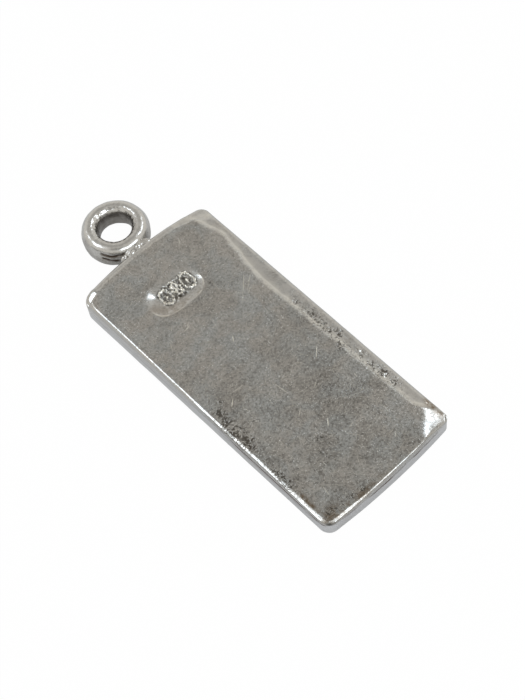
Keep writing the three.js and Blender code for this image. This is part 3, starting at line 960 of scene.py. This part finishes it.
def rollFall(x, y):
    # how far the edges have fallen, with and without the bent corner
    s = backSettings
    wave = uneven(x, y, *s["edgeWaves"])
    keep = 1.0
    for distance, place, roll, band, waviness in (
        (x + halfWidth, y, "leftRoll", "softBand", 0.2),
        (halfWidth - x, y, "rightRoll", "softBand", 0.08),
        (y + halfLength, x, "farEndRoll", "softBand", 0.2),
        (halfLength - y, x, "ringEndRoll", "crispBand", 0.12),
    ):
        keep *= 1 - rollShape(distance, s[band], 1 + waviness * wave, *between(s[roll], place))
    rolled = 1 - keep
    right = max(0.0, x - s["foldCentre"][0])
    down = max(0.0, s["foldCentre"][1] - y)
    beyond = math.hypot(right, down) - s["foldStart"]
    folded = (math.sqrt(beyond * beyond + s["foldSoftness"]) + beyond) / 2
    folded *= smoothStep(right / s["foldComesIn"]) * smoothStep(down / s["foldComesIn"])
    keep *= 1 - min(s["foldMost"], s["foldSlope"] * folded / s["edgeDrop"])
    return 1 - keep, rolled


def ridgePaintedHighlight(x, y):
    # how strong the highlight painted along the ridge inside the right and the ring-end band is
    s = backSettings
    shine = 0.0
    for distance, points, place in (
        (halfWidth - x, s["rightRoll"], y),
        (halfLength - y, s["ringEndRoll"], x),
    ):
        width = between(points, place)[0]
        if width > s["ridgeLeastWidth"]:
            away = (width - distance - s["ridgeInset"]) / s["ridgeReach"]
            shine = max(shine, s["ridgePaintedHighlight"] * math.exp(-away * away))
    return shine * smoothStep(uneven(x, y, *s["ridgeWorn"]))


def dentFall(x, y):
    # how far the dent has fallen, and how rubbed it is
    s = dentSettings
    across, along, reach, depth = s["press"]
    away = math.hypot(x - across, y - along) / reach
    press = depth / s["depth"] * math.exp(-away * away) if away < placeEnd else 0.0
    x -= s["centre"][0]
    y -= s["centre"][1]
    across = abs(x) / (s["reachLeft"] if x < 0 else s["reachRight"])
    along = abs(y) / (s["reachDown"] if y < 0 else s["reachUp"])
    power = s["leftPower"] if x < 0 else s["rightPower"]
    inside = 1 - across**power - along ** s["alongPower"]
    start, rise = s["lifted"]
    upper = smoothStep(start + y * rise)
    lip = s["crispLip"] + (s["softLip"] - s["crispLip"]) * upper
    fall = (math.sqrt(inside * inside + lip) + inside) / 2
    higher, beyond = s["liftedLeft"]
    lifted = smoothStep(start + (y - higher * smoothStep(-beyond - x)) * rise)
    middle, reach = s["rim"]
    rim = math.exp(-(((inside - middle) / reach) ** 2)) * (1 - lifted)
    rim *= uneven(x, y, *s["rimWorn"])
    rubbed = s["rubbed"] * smoothStep(fall * s["rubbedSoon"])
    return fall + press, max(rubbed, s["lipRubAndHighlight"] * rim)


def markGap(x, y):
    # distance to the nearest raised line of the plain struck row, below 0 inside a line
    s = markSettings
    half = s["line"] / 2
    gaps = []
    for centre in (-s["pitch"], s["pitch"]):
        away = math.hypot(x - centre, y)
        gaps.append(abs(away - s["size"] / 2 + half) - half)
        gaps.append(away - s["dot"] / 2)
    reach = s["pitch"] / 2 - 0.01
    gaps.append(abs((abs(x) + abs(y) - reach) / math.sqrt(2) + half) - half)
    first = abs(x - y) / math.sqrt(2)
    second = abs(x + y) / math.sqrt(2)
    gaps.append(max(first - half, second - s["bar"] / 2))
    gaps.append(max(second - half, first - s["bar"] / 2))
    return min(gaps)


def markRelief(x, y):
    # how far a rounded line stands up, and how black the ground beside it is
    s = markSettings
    x -= s["centre"][0]
    y -= s["centre"][1]
    width, height = s["zone"]
    acrossPower, alongPower = s["zonePowers"]
    edge = 1 - (abs(x) / width) ** acrossPower - (abs(y) / height) ** alongPower
    if edge <= 0:
        return 0.0, 0.0
    zone = smoothStep(edge * s["zoneEdge"])
    x += s["rough"] * ripple(x, y, s["roughSize"], 31.0)
    y += s["rough"] * ripple(x, y, s["roughSize"], 32.0)
    gap = markGap(x, y * s["squash"]) + s["rough"] * ripple(x, y, s["fineSize"], 33.0)
    deep = min(1.0, max(0.0, -gap / (s["line"] / 2)))
    rise = math.sqrt(1 - (1 - deep) ** 2) * uneven(x, y, *s["lineWorn"])
    reach, ending = s["burrReach"]
    burr = smoothStep(1 - abs(ripple(x, y, s["burrSize"], 36.0)) * s["burrThinness"])
    burr *= zone * smoothStep(reach - gap * ending)
    rise = max(rise, s["burr"] * burr * uneven(x, y, *s["burrWorn"]))
    bare = smoothStep(max(deep, rise * 0.6) * s["groundTop"])
    ground = zone * (1 - bare) * smoothStep(1.5 - gap / s["reach"])
    return rise, ground * uneven(x, y, *s["groundWorn"])


def nearPlaces(places, x, y):
    total = 0.0
    for across, along, reachAcross, reachAlong, strength in places:
        away = math.hypot((x - across) / reachAcross, (y - along) / reachAlong)
        if away < placeEnd:
            total += strength * math.exp(-away * away)
    return min(1.0, total)


def nickHeight(x, y):
    total = 0.0
    ragged, size = nickRagged
    x += ragged * ripple(x, y, size, 41.0)
    y += ragged * ripple(x, y, size, 42.0)
    for across, along, reach, height in nickPlaces:
        away = math.hypot(x - across, y - along) / reach
        if away < nickEnd:
            total += height * math.exp(-away * away)
    return total


def makeBackPlate():
    s = backSettings
    acrossCells = sum(count for _, count in s["acrossRuler"])
    alongCells = sum(count for _, count in s["alongRuler"])
    bm = bmesh.new()
    layers = bm.verts.layers.float
    names = ("polish", "pitting", "tarnish", "darkening", "crownAndHighlight", "scuff", "across", "along")
    for name in names:
        layers.new(name)
    polish, pitting, tarnish, darkening, crownAndHighlight, scuff, acrossLayer, alongLayer = layers.values()
    bmesh.ops.create_grid(bm, x_segments=acrossCells, y_segments=alongCells, size=1.0)
    for vert in bm.verts:
        x = onRuler(s["acrossRuler"], (vert.co.x + 1) / 2)
        y = onRuler(s["alongRuler"], (vert.co.y + 1) / 2)
        fall, rolled = rollFall(x, y)
        dent, rubbed = dentFall(x, y)
        rise, ground = markRelief(x, y)
        z = bodySettings["backTop"] - s["edgeDrop"] * fall - dentSettings["depth"] * dent
        z += markSettings["height"] * rise + nickHeight(x, y)
        z += uneven(x, y, *s["sway"]) * (1 - fall)
        sagX, sagY = s["sagReach"]
        z -= s["sagDepth"] * smoothStep(1 - math.hypot((x + halfWidth) / sagX, (y + halfLength) / sagY))
        vert[acrossLayer] = x / halfWidth
        vert[alongLayer] = y / halfLength
        most, soon = s["bentPolish"]
        bent = most * smoothStep((fall - rolled) * soon)
        mottled = smoothStep(uneven(x, y, *s["mottle"]))
        spared = 1 - mottled * nearPlaces(dullPlaces, x, y)
        edge = smoothStep(rolled * s["edgePolish"]) * spared
        vert[polish] = min(1.0, max(edge, rubbed, bent))
        least, more = s["scuff"]
        start, reach = s["scuffFrom"]
        farther = (start - y) / reach + uneven(x, y, *s["scuffWaves"])
        vert[scuff] = least + more * smoothStep(farther)
        vert[darkening] = max(ground, nearPlaces(darkCornerPlaces, x, y))
        # painted highlights along the dent's lip and the band ridges share the bright colour of the
        # struck row's worn crowns
        most, start, reach = s["lipPaintedHighlight"]
        lipPaintedHighlight = most * smoothStep((rubbed - start) / reach)
        worn = min(1.0, max(s["crownLeast"], uneven(x, y, *s["crownWorn"])))
        vert[crownAndHighlight] = max(rise * worn, lipPaintedHighlight, ridgePaintedHighlight(x, y))
        vert[pitting] = nearPlaces(pittedPlaces, x, y)
        vert[tarnish] = nearPlaces(brownPlaces, x, y)
        vert.co = (*outlinePoint(vert[acrossLayer], vert[alongLayer]), z)
    bottom = bodySettings["wallTop"]
    for inset, z in ((0.0, bottom + s["seamGap"]), (s["seamGap"], bottom)):
        edges = [edge for edge in bm.edges if edge.is_boundary]
        made = bmesh.ops.extrude_edge_only(bm, edges=edges)["geom"]
        for vert in made:
            if isinstance(vert, bmesh.types.BMVert):
                vert.co = (*outlinePoint(vert[acrossLayer], vert[alongLayer], inset), z)
    bmesh.ops.holes_fill(bm, edges=[edge for edge in bm.edges if edge.is_boundary], sides=0)
    layers.remove(layers["across"])
    layers.remove(layers["along"])
    finishPiece("rolledBackPlate", bm, wornSheet, "worn_silver", "back_plate")


makeBackPlate()
print("back plate shaped")


# walls

wallSettings = {
    "stations": 1064,  # round the outline
    "thickness": 0.7,
    "height": 1.35,
    "rimRound": 0.3,
    "seamGap": 0.02,
    "openSeamGap": 0.13,
    "scoredAt": 1.02,  # height of a line that the file scored into the left wall
    "scoredReach": 0.08,
    "scoredWorn": (0.75, (1.2, 1.7, 14.0)),
    "scoredEnd": (-12.4, 0.8),  # mm along the plate, and the length over which it ends
    "upperLevel": 1.18,
    "lowerLevels": (0.8, 0.6, 0.45),
    "rimSteps": 6,
    "innerChamfer": 0.05,
    # the open seam: where it starts and ends in the left wall, with the lengths over which it
    # does, and how far from the middle it ends in the far one
    "seamWorn": (1.0, (0.9, 1.1, 12.0)),
    "leftSeamStart": (-2.6, 1.5),
    "leftSeamEnd": (-13.0, 0.5),
    "farSeamEnd": (5.0, 0.8),
}


def walkOutline(share):
    # a point on the square-cornered outline by its share of the way round, as across and along
    width, length = 2 * halfWidth, 2 * halfLength
    way = share * 2 * (width + length)
    if way < width:
        return way / halfWidth - 1, -1.0
    way -= width
    if way < length:
        return 1.0, way / halfLength - 1
    way -= length
    if way < width:
        return 1 - way / halfWidth, 1.0
    way -= width
    return -1.0, 1 - way / halfLength


def openSeam(across, along):
    # where the joint between wall and back plate shows as a brown line
    s = wallSettings
    x, y = across * halfWidth, along * halfLength
    worn = uneven(x, y, *s["seamWorn"])
    if across == -1.0:
        start, starting = s["leftSeamStart"]
        end, ending = s["leftSeamEnd"]
        return smoothStep(worn) * smoothStep((start - y) / starting) * smoothStep((y - end) / ending)
    if along == -1.0:
        end, ending = s["farSeamEnd"]
        return smoothStep(worn * 1.1 - 0.5) * smoothStep((end - abs(x)) / ending)
    return 0.0


def scoredLine(across, along):
    # where the scored line is deep enough to hold dirt
    s = wallSettings
    x, y = across * halfWidth, along * halfLength
    if across != -1.0:
        return 0.0
    end, ending = s["scoredEnd"]
    return smoothStep(uneven(x, y, *s["scoredWorn"])) * smoothStep((y - end) / ending)


def makeWalls():
    s = wallSettings
    bm = bmesh.new()
    station = bm.verts.layers.int.new("station")
    seam = bm.verts.layers.float.new("seam")
    made = bmesh.ops.create_circle(bm, segments=s["stations"], radius=1.0)
    for number, vert in enumerate(made["verts"]):
        vert[station] = number
    outer = [(s["seamGap"], s["height"]), (0.0, s["height"] - s["seamGap"])]
    scored = len(outer) + 2
    levels = [s["scoredAt"] + side * s["scoredReach"] for side in (1, 0, -1)]
    outer += [(0.0, z) for z in (s["upperLevel"], *levels, *s["lowerLevels"])]
    for step in range(s["rimSteps"] + 1):
        angle = step / s["rimSteps"] * math.pi / 2
        inset = s["rimRound"] * (1 - math.cos(angle))
        outer.append((inset, s["rimRound"] * (1 - math.sin(angle))))
    inside, chamfer = s["thickness"], s["innerChamfer"]
    rows = outer + [(inside - chamfer, 0.0), (inside, chamfer), (inside, s["height"])]

    def placeRow(verts, row):
        inset, z = rows[row]
        for vert in verts:
            across, along = walkOutline(vert[station] / s["stations"])
            x, y = outlinePoint(across, along, inset)
            opened = openSeam(across, along) if row < 2 else 0.0
            lift = (s["openSeamGap"] - s["seamGap"]) * opened if row == 1 else 0.0
            vert[seam] = scoredLine(across, along) if row == scored else opened
            vert.co = (x, y, z - lift)

    placeRow(bm.verts, 0)
    firstEdges = list(bm.edges)
    edges = firstEdges
    for row in range(1, len(rows)):
        made = bmesh.ops.extrude_edge_only(bm, edges=edges)["geom"]
        placeRow([item for item in made if isinstance(item, bmesh.types.BMVert)], row)
        edges = [item for item in made if isinstance(item, bmesh.types.BMEdge) and item.is_boundary]
    bmesh.ops.bridge_loops(bm, edges=firstEdges + edges)
    bm.verts.layers.int.remove(station)
    finishPiece("wallBand", bm, filedBand, "polished_silver", "side_wall")


makeWalls()
print("walls shaped")


# hanging ring

ringSettings = {
    "centre": (0.04, 13.485, 1.1),
    "meanRadius": 1.95,
    "halfAcross": 0.76,
    "halfDeep": 1.1,
    "fullness": (2.55, 2.15),  # of the lower and upper half, 2 is an ellipse, more is squarer
    "stations": 260,
    "sides": 96,
    "hammer": 0.055,
    "facet": 0.018,
    "chatter": 0.018,  # small nicks on the inner shoulder
    "dentSizes": (1.1, 0.5),  # mm, of the hammer's large and small dents
    "smallDents": 0.4,
    "facetSize": 0.62,
    "nickSize": 0.20,
    "nicks": (-0.5, 0.5),  # middle across the section and reach, as shares of the half width
    # tarnish in the bore: where it starts across the section, how it thins out towards the
    # top, how strong it is, and the size in mm of its patches
    "boreStart": (-0.62, 0.3),
    "boreTop": (1.25, 0.9),
    "boreTarnish": (0.40, 0.26),
    "borePatches": (2.4, 0.8, 0.7),
    # a film of tarnish outside, lower down, with painted shade that makes it darker towards the bottom
    # and on the side away from the light, and tarnish on the shoulder
    "film": (1.4, 0.2),
    "filmTop": (0.9, 0.9),
    "filmTarnishAndShade": (0.08, 0.22),
    "shoulder": (-0.42, 0.34),
    "shoulderTarnish": 0.28,
    # the bore bulges outwards at one turn: depth in mm, turn and reach in degrees
    "boreBulge": (0.11, 12, 26),
    # dark creases: turn and level along the way, in degrees and as a share of the half depth
    "creases": [
        [(-158, 0.56), (-148, 0.50), (-135, 0.40), (-122, 0.47), (-108, 0.46)],
        [(-156, 0.16), (-146, 0.11), (-138, 0.00), (-128, -0.04), (-112, -0.22)],
    ],
    "creaseReach": 0.11,
    "creaseDepth": 0.08,
}


def creaseDepth(turn, level, side):
    s = ringSettings
    deepest = 0.0
    if side < 0:
        return 0.0
    for points in s["creases"]:
        if points[0][0] < turn < points[-1][0]:
            (middle,) = between(points, turn)
            ends = min(turn - points[0][0], points[-1][0] - turn)
            away = (level - middle) / s["creaseReach"]
            deepest = max(deepest, math.exp(-away * away) * smoothStep(ends / 5))
    return deepest


def ringTarnishAndShade(spot, turn, side, level):
    s = ringSettings
    start, reach = s["boreStart"]
    top, thinning = s["boreTop"]
    least, more = s["boreTarnish"]
    rise, patches, size = s["borePatches"]
    inner = smoothStep((start - side) / reach) * smoothStep(top - level * thinning)
    inner *= least + more * smoothStep(level * rise + patches * noise.noise(spot / size))
    # painted shade on the outer side over a faint tarnish film: darker low down and on the side away
    # from the light
    rise, start = s["film"]
    top, size = s["filmTop"]
    least, more = s["filmTarnishAndShade"]
    film = smoothStep(side * rise - start) * smoothStep(top - level + noise.noise(spot / size))
    film *= least + more * smoothStep(-math.cos(turn))
    middle, reach = s["shoulder"]
    shoulder = smoothStep(1 - abs(side - middle) / reach) * smoothStep(level * 3)
    shoulder *= s["shoulderTarnish"] * smoothStep(0.3 - 1.2 * math.sin(turn))
    return max(inner, film, shoulder)


def makeRing():
    s = ringSettings
    bm = bmesh.new()
    made = bmesh.ops.create_circle(bm, segments=s["sides"], radius=1.0)
    for vert in made["verts"]:
        angle = math.atan2(vert.co.y, vert.co.x)
        power = 2 / s["fullness"][vert.co.y > 0]
        across = math.copysign(abs(math.cos(angle)) ** power, math.cos(angle))
        deep = math.copysign(abs(math.sin(angle)) ** power, math.sin(angle))
        vert.co = (s["meanRadius"] + s["halfAcross"] * across, 0, s["halfDeep"] * deep)
    bmesh.ops.spin(
        bm,
        geom=bm.verts[:] + bm.edges[:],
        cent=(0, 0, 0),
        axis=(0, 0, 1),
        angle=2 * math.pi,
        steps=s["stations"],
        use_merge=True,
    )
    bore = bm.verts.layers.float.new("bore")
    for vert in bm.verts:
        turn = math.atan2(vert.co.y, vert.co.x)
        radius = math.hypot(vert.co.x, vert.co.y)
        outward = Vector((math.cos(turn), math.sin(turn), 0))
        side = (radius - s["meanRadius"]) / s["halfAcross"]
        level = vert.co.z / s["halfDeep"]
        away = (outward * side / s["halfAcross"] + Vector((0, 0, level / s["halfDeep"]))).normalized()
        spot = Vector((vert.co.x, vert.co.y, vert.co.z))
        crease = creaseDepth(math.degrees(turn), level, side)
        vert[bore] = max(smoothStep(crease * 1.5), ringTarnishAndShade(spot, turn, side, level))

        large, small = s["dentSizes"]
        dents = noise.noise(spot / large + Vector((21, 0, 0)))
        dents += s["smallDents"] * noise.noise(spot / small)
        facets = abs(noise.noise(spot / s["facetSize"] + Vector((0, 9, 0))))
        middle, reach = s["nicks"]
        bevel = smoothStep(1 - abs(side - middle) / reach) * smoothStep(level * 2)
        nicks = bevel * noise.noise(spot / s["nickSize"] + Vector((0, 0, 5)))
        sink = s["hammer"] * (0.5 + 0.5 * dents) + s["facet"] * facets
        sink += s["chatter"] * (1 + nicks * 2) + s["creaseDepth"] * crease
        bulge, middle, reach = s["boreBulge"]
        bulge *= math.exp(-(((math.degrees(turn) - middle) / reach) ** 2)) * smoothStep(-side)
        vert.co += outward * bulge - away * max(0.0, sink)
    bmesh.ops.translate(bm, vec=s["centre"], verts=bm.verts)
    finishPiece("hammeredRing", bm, hammeredRing, "ring_silver", "hanging_ring")


makeRing()
print("hanging ring spun")


# solder foot between the ring and the plate

footSettings = {
    "centre": (0.0, 10.675, 1.1),
    "halfWidth": 1.5,
    "reach": 1.45,
    "halfHeight": 0.90,
    "dents": (0.07, 1.7),  # depth as a share of a lump, and how many there are across it
    "fineDents": (0.006, 4),
    "film": 0.30,  # strength of the tarnish
    # solder lumps: place, radii and lean in degrees
    "lumps": [
        ((-0.72, 10.52, 1.74), (0.62, 0.28, 0.30), 30),
        ((-1.25, 10.80, 1.48), (0.40, 0.30, 0.44), 10),
        ((0.06, 10.74, 1.74), (0.34, 0.34, 0.36), 0),
        ((0.74, 10.62, 1.70), (0.60, 0.26, 0.32), -14),
        ((-0.82, 10.30, 1.90), (0.50, 0.20, 0.12), 36),
    ],
}


def makeFoot():
    s = footSettings
    bm = bmesh.new()
    bore = bm.verts.layers.float.new("bore")
    shapes = [(s["centre"], (s["halfWidth"], s["reach"], s["halfHeight"]), 0, 6)]
    shapes += [(*lump, 4) for lump in s["lumps"]]
    for centre, radii, lean, divisions in shapes:
        made = bmesh.ops.create_icosphere(bm, subdivisions=divisions, radius=1.0)["verts"]
        for vert in made:
            depth, count = s["dents"]
            dents = depth * (0.5 + 0.5 * noise.noise(vert.co * count + Vector(centre)))
            depth, count = s["fineDents"]
            dents += depth * (0.5 + noise.noise(vert.co * count))
            vert.co = Vector([part * radius for part, radius in zip(vert.co, radii)]) * (1 - dents)
            vert[bore] = s["film"] * smoothStep(noise.noise(vert.co * 3) * 2)
        turned = Matrix.Rotation(math.radians(lean), 3, "Z")
        bmesh.ops.rotate(bm, cent=(0, 0, 0), matrix=turned, verts=made)
        bmesh.ops.translate(bm, vec=centre, verts=made)
    finishPiece("solderFoot", bm, hammeredRing, "solder_silver", "ring_solder")


makeFoot()
print("solder foot shaped")


# front: sheet, ropes, balls, dome

frontSettings = {
    "recess": 0.65,
    "trayInset": 0.72,
    "ropeDiameter": 0.52,
    "ropePitch": 1.35,
    "ropeSteps": 14,  # in one turn
    "wireSides": 10,
    "groove": (0.80, 0.35),  # where the black of the lay starts, and its reach, from the middle
    "cornerBall": 0.62,
    "ballSink": 0.08,
    "ballUnevenness": 0.03,
    # black round the foot: strength, and for a ball and the dome its height and reach
    "footBlack": 0.9,
    "ballFoot": (0.02, 0.26),
    "domeFoot": 2.6,
    "planishing": 0.06,  # hammer marks on the dome
    "solderGap": 0.02,
    "boss": (5.0, 8.2, 0.5),
    "bossWire": (6.0, 9.2, 0.46),
    "rosetteFromEnd": 4.7,
    "rosetteWireRadius": 1.42,
    "rosetteWire": 0.42,
    "heartBall": 0.7,
    "petalBall": 0.62,
    "petalCount": 6,
    "spacerBall": 0.6,
}


def twistedPair(length, diameter, pitch):
    # two wires wound round each other along X, with darkness in the lay between them
    s = frontSettings
    bm = bmesh.new()
    wire = diameter / 4
    turns = max(1, round(length / pitch))
    steps = turns * s["ropeSteps"]
    sides = s["wireSides"]
    for side in (-1, 1):
        made = bmesh.ops.create_circle(bm, cap_ends=True, segments=sides, radius=wire)["verts"]
        bmesh.ops.rotate(bm, cent=(0, 0, 0), matrix=Matrix.Rotation(math.pi / 2, 3, "Y"), verts=made)
        bmesh.ops.translate(bm, vec=(0, side * wire, 0), verts=made)
        faces = [face for vert in made for face in vert.link_faces]
        edges = [edge for vert in made for edge in vert.link_edges]
        bmesh.ops.spin(
            bm,
            geom=list(dict.fromkeys(made + edges + faces)),
            cent=(0, 0, 0),
            axis=(1, 0, 0),
            dvec=(length / steps, 0, 0),
            angle=turns * 2 * math.pi,
            steps=steps,
        )
    bmesh.ops.translate(bm, vec=(-length / 2, 0, 0), verts=bm.verts)
    groove = bm.verts.layers.float.new("groove")
    start, reach = s["groove"]
    for vert in bm.verts:
        away = math.hypot(vert.co.y, vert.co.z) / (diameter / 2)
        vert[groove] = smoothStep((start - away) / reach)
    return bm


def makeRope(name, start, end, node):
    s = frontSettings
    start, end = Vector(start), Vector(end)
    bm = twistedPair((end - start).length, s["ropeDiameter"], s["ropePitch"])
    way = (end - start).normalized()
    side = Vector((-way.y, way.x))
    middle = (start + end) / 2
    z = s["recess"] - s["ropeDiameter"] / 2
    for vert in bm.verts:
        flat = middle + way * vert.co.x + side * vert.co.y
        vert.co = (*bend(flat.x, flat.y), z + vert.co.z)
    finishPiece(name, bm, twistedWire, "wire_silver", node)


def makeWireRing(name, centre, halfAcross, halfAlong, diameter, node):
    s = frontSettings
    spread = (halfAcross - halfAlong) ** 2 / (halfAcross + halfAlong) ** 2
    length = math.pi * (halfAcross + halfAlong) * (1 + spread / 4)
    bm = twistedPair(length, diameter, s["ropePitch"] * diameter / s["ropeDiameter"])
    ends = [face for face in bm.faces if len(face.verts) == s["wireSides"]]
    bmesh.ops.delete(bm, geom=ends, context="FACES_ONLY")
    for vert in bm.verts:
        turn = vert.co.x / length * 2 * math.pi
        outward = Vector((math.cos(turn) * halfAlong, math.sin(turn) * halfAcross, 0)).normalized()
        ring = Vector((math.cos(turn) * halfAcross, math.sin(turn) * halfAlong, 0))
        lift = s["recess"] - diameter / 2 + vert.co.z
        vert.co = ring + outward * vert.co.y + Vector((centre[0], centre[1], lift))
    bmesh.ops.remove_doubles(bm, verts=bm.verts, dist=0.004)
    finishPiece(name, bm, twistedWire, "wire_silver", node)


def makeBall(name, spot, diameter, node, seed):
    s = frontSettings
    bm = bmesh.new()
    foot = bm.verts.layers.float.new("foot")
    bmesh.ops.create_icosphere(bm, subdivisions=4, radius=diameter / 2)
    start, reach = s["ballFoot"]
    for vert in bm.verts:
        vert[foot] = s["footBlack"] * smoothStep((vert.co.z / diameter + start) / reach)
        dents = 0.5 + 0.5 * noise.noise(vert.co * 4 + Vector((seed, 0, 0)))
        vert.co *= 1 - s["ballUnevenness"] * dents
    centre = s["recess"] + s["ballSink"] - diameter / 2
    bmesh.ops.translate(bm, vec=(spot[0], spot[1], centre), verts=bm.verts)
    finishPiece(name, bm, meltedBall, "ball_silver", node)


def makeBoss():
    s = frontSettings
    width, length, height = s["boss"]
    bm = bmesh.new()
    foot = bm.verts.layers.float.new("foot")
    bmesh.ops.create_uvsphere(bm, u_segments=96, v_segments=48, radius=1.0)
    cut = bmesh.ops.bisect_plane(
        bm,
        geom=bm.verts[:] + bm.edges[:] + bm.faces[:],
        plane_co=(0, 0, 0),
        plane_no=(0, 0, 1),
        clear_outer=True,
    )
    rim = [item for item in cut["geom_cut"] if isinstance(item, bmesh.types.BMEdge)]
    bmesh.ops.edgeloop_fill(bm, edges=rim)
    bmesh.ops.scale(bm, vec=(width / 2, length / 2, height), verts=bm.verts)
    for vert in bm.verts:
        vert[foot] = s["footBlack"] * smoothStep(1 + vert.co.z / height * s["domeFoot"])
        planished = 0.5 + 0.5 * noise.noise(vert.co * 1.4) + abs(noise.noise(vert.co * 1.1))
        vert.co.z *= 1 - s["planishing"] * planished
    bmesh.ops.translate(bm, vec=(0, bodySettings["middle"], s["recess"]), verts=bm.verts)
    finishPiece("frontDome", bm, meltedBall, "ball_silver", "boss")


def makeFront():
    s = frontSettings
    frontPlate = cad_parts["front_plate"]
    frontPlate.data.materials.clear()
    frontPlate.data.materials.append(blackenedSheet)
    inset = s["trayInset"] + max(s["ropeDiameter"], s["cornerBall"]) / 2 + s["solderGap"]
    x = halfWidth - inset
    y = halfLength - inset
    gap = s["cornerBall"] / 2 + s["solderGap"]
    for side, nodeSide, sideX in (("Left", "left", -x), ("Right", "right", x)):
        makeRope(f"rope{side}", (sideX, gap - y), (sideX, y - gap), f"border_rope_{nodeSide}")
    for side, nodeSide, sideY in (("RingEnd", "ring_end", y), ("FarEnd", "far_end", -y)):
        makeRope(f"rope{side}", (gap - x, sideY), (x - gap, sideY), f"border_rope_{nodeSide}")
    corners = [(-x, y), (x, y), (-x, -y), (x, -y)]
    for number, corner in enumerate(corners, 1):
        node = f"corner_granule_{number}"
        makeBall(f"cornerBall{number}", bend(*corner), s["cornerBall"], node, number)
    makeBoss()
    middle = bodySettings["middle"]
    across, along, diameter = s["bossWire"]
    makeWireRing("domeWire", (0, middle), across / 2, along / 2, diameter, "boss_wire")
    fromMiddle = halfLength - s["rosetteFromEnd"]
    rosetteEdge = fromMiddle - s["rosetteWireRadius"] - s["rosetteWire"] / 2
    spacerPlace = ((along + diameter) / 2 + rosetteEdge) / 2
    petalNumber = 0
    for number, side in ((1, 1), (2, -1)):
        y = middle + side * fromMiddle
        radius = s["rosetteWireRadius"]
        node = f"rosette_wire_{number}"
        makeWireRing(f"rosetteWire{number}", (0, y), radius, radius, s["rosetteWire"], node)
        node = f"rosette_heart_{number}"
        makeBall(f"rosetteHeart{number}", (0, y), s["heartBall"], node, 40 + number)
        reach = (s["heartBall"] + s["petalBall"]) / 2 + s["solderGap"]
        for petal in range(s["petalCount"]):
            petalNumber += 1
            angle = (petal + 0.5) / s["petalCount"] * 2 * math.pi
            spot = (reach * math.cos(angle), y + reach * math.sin(angle))
            node = f"rosette_petal_{petalNumber}"
            makeBall(f"petalBall{petalNumber}", spot, s["petalBall"], node, 50 + petalNumber)
        spot = (0, middle + side * spacerPlace)
        makeBall(f"spacerBall{number}", spot, s["spacerBall"], f"spacer_granule_{number}", 80 + number)


makeFront()
print("front ornament made")
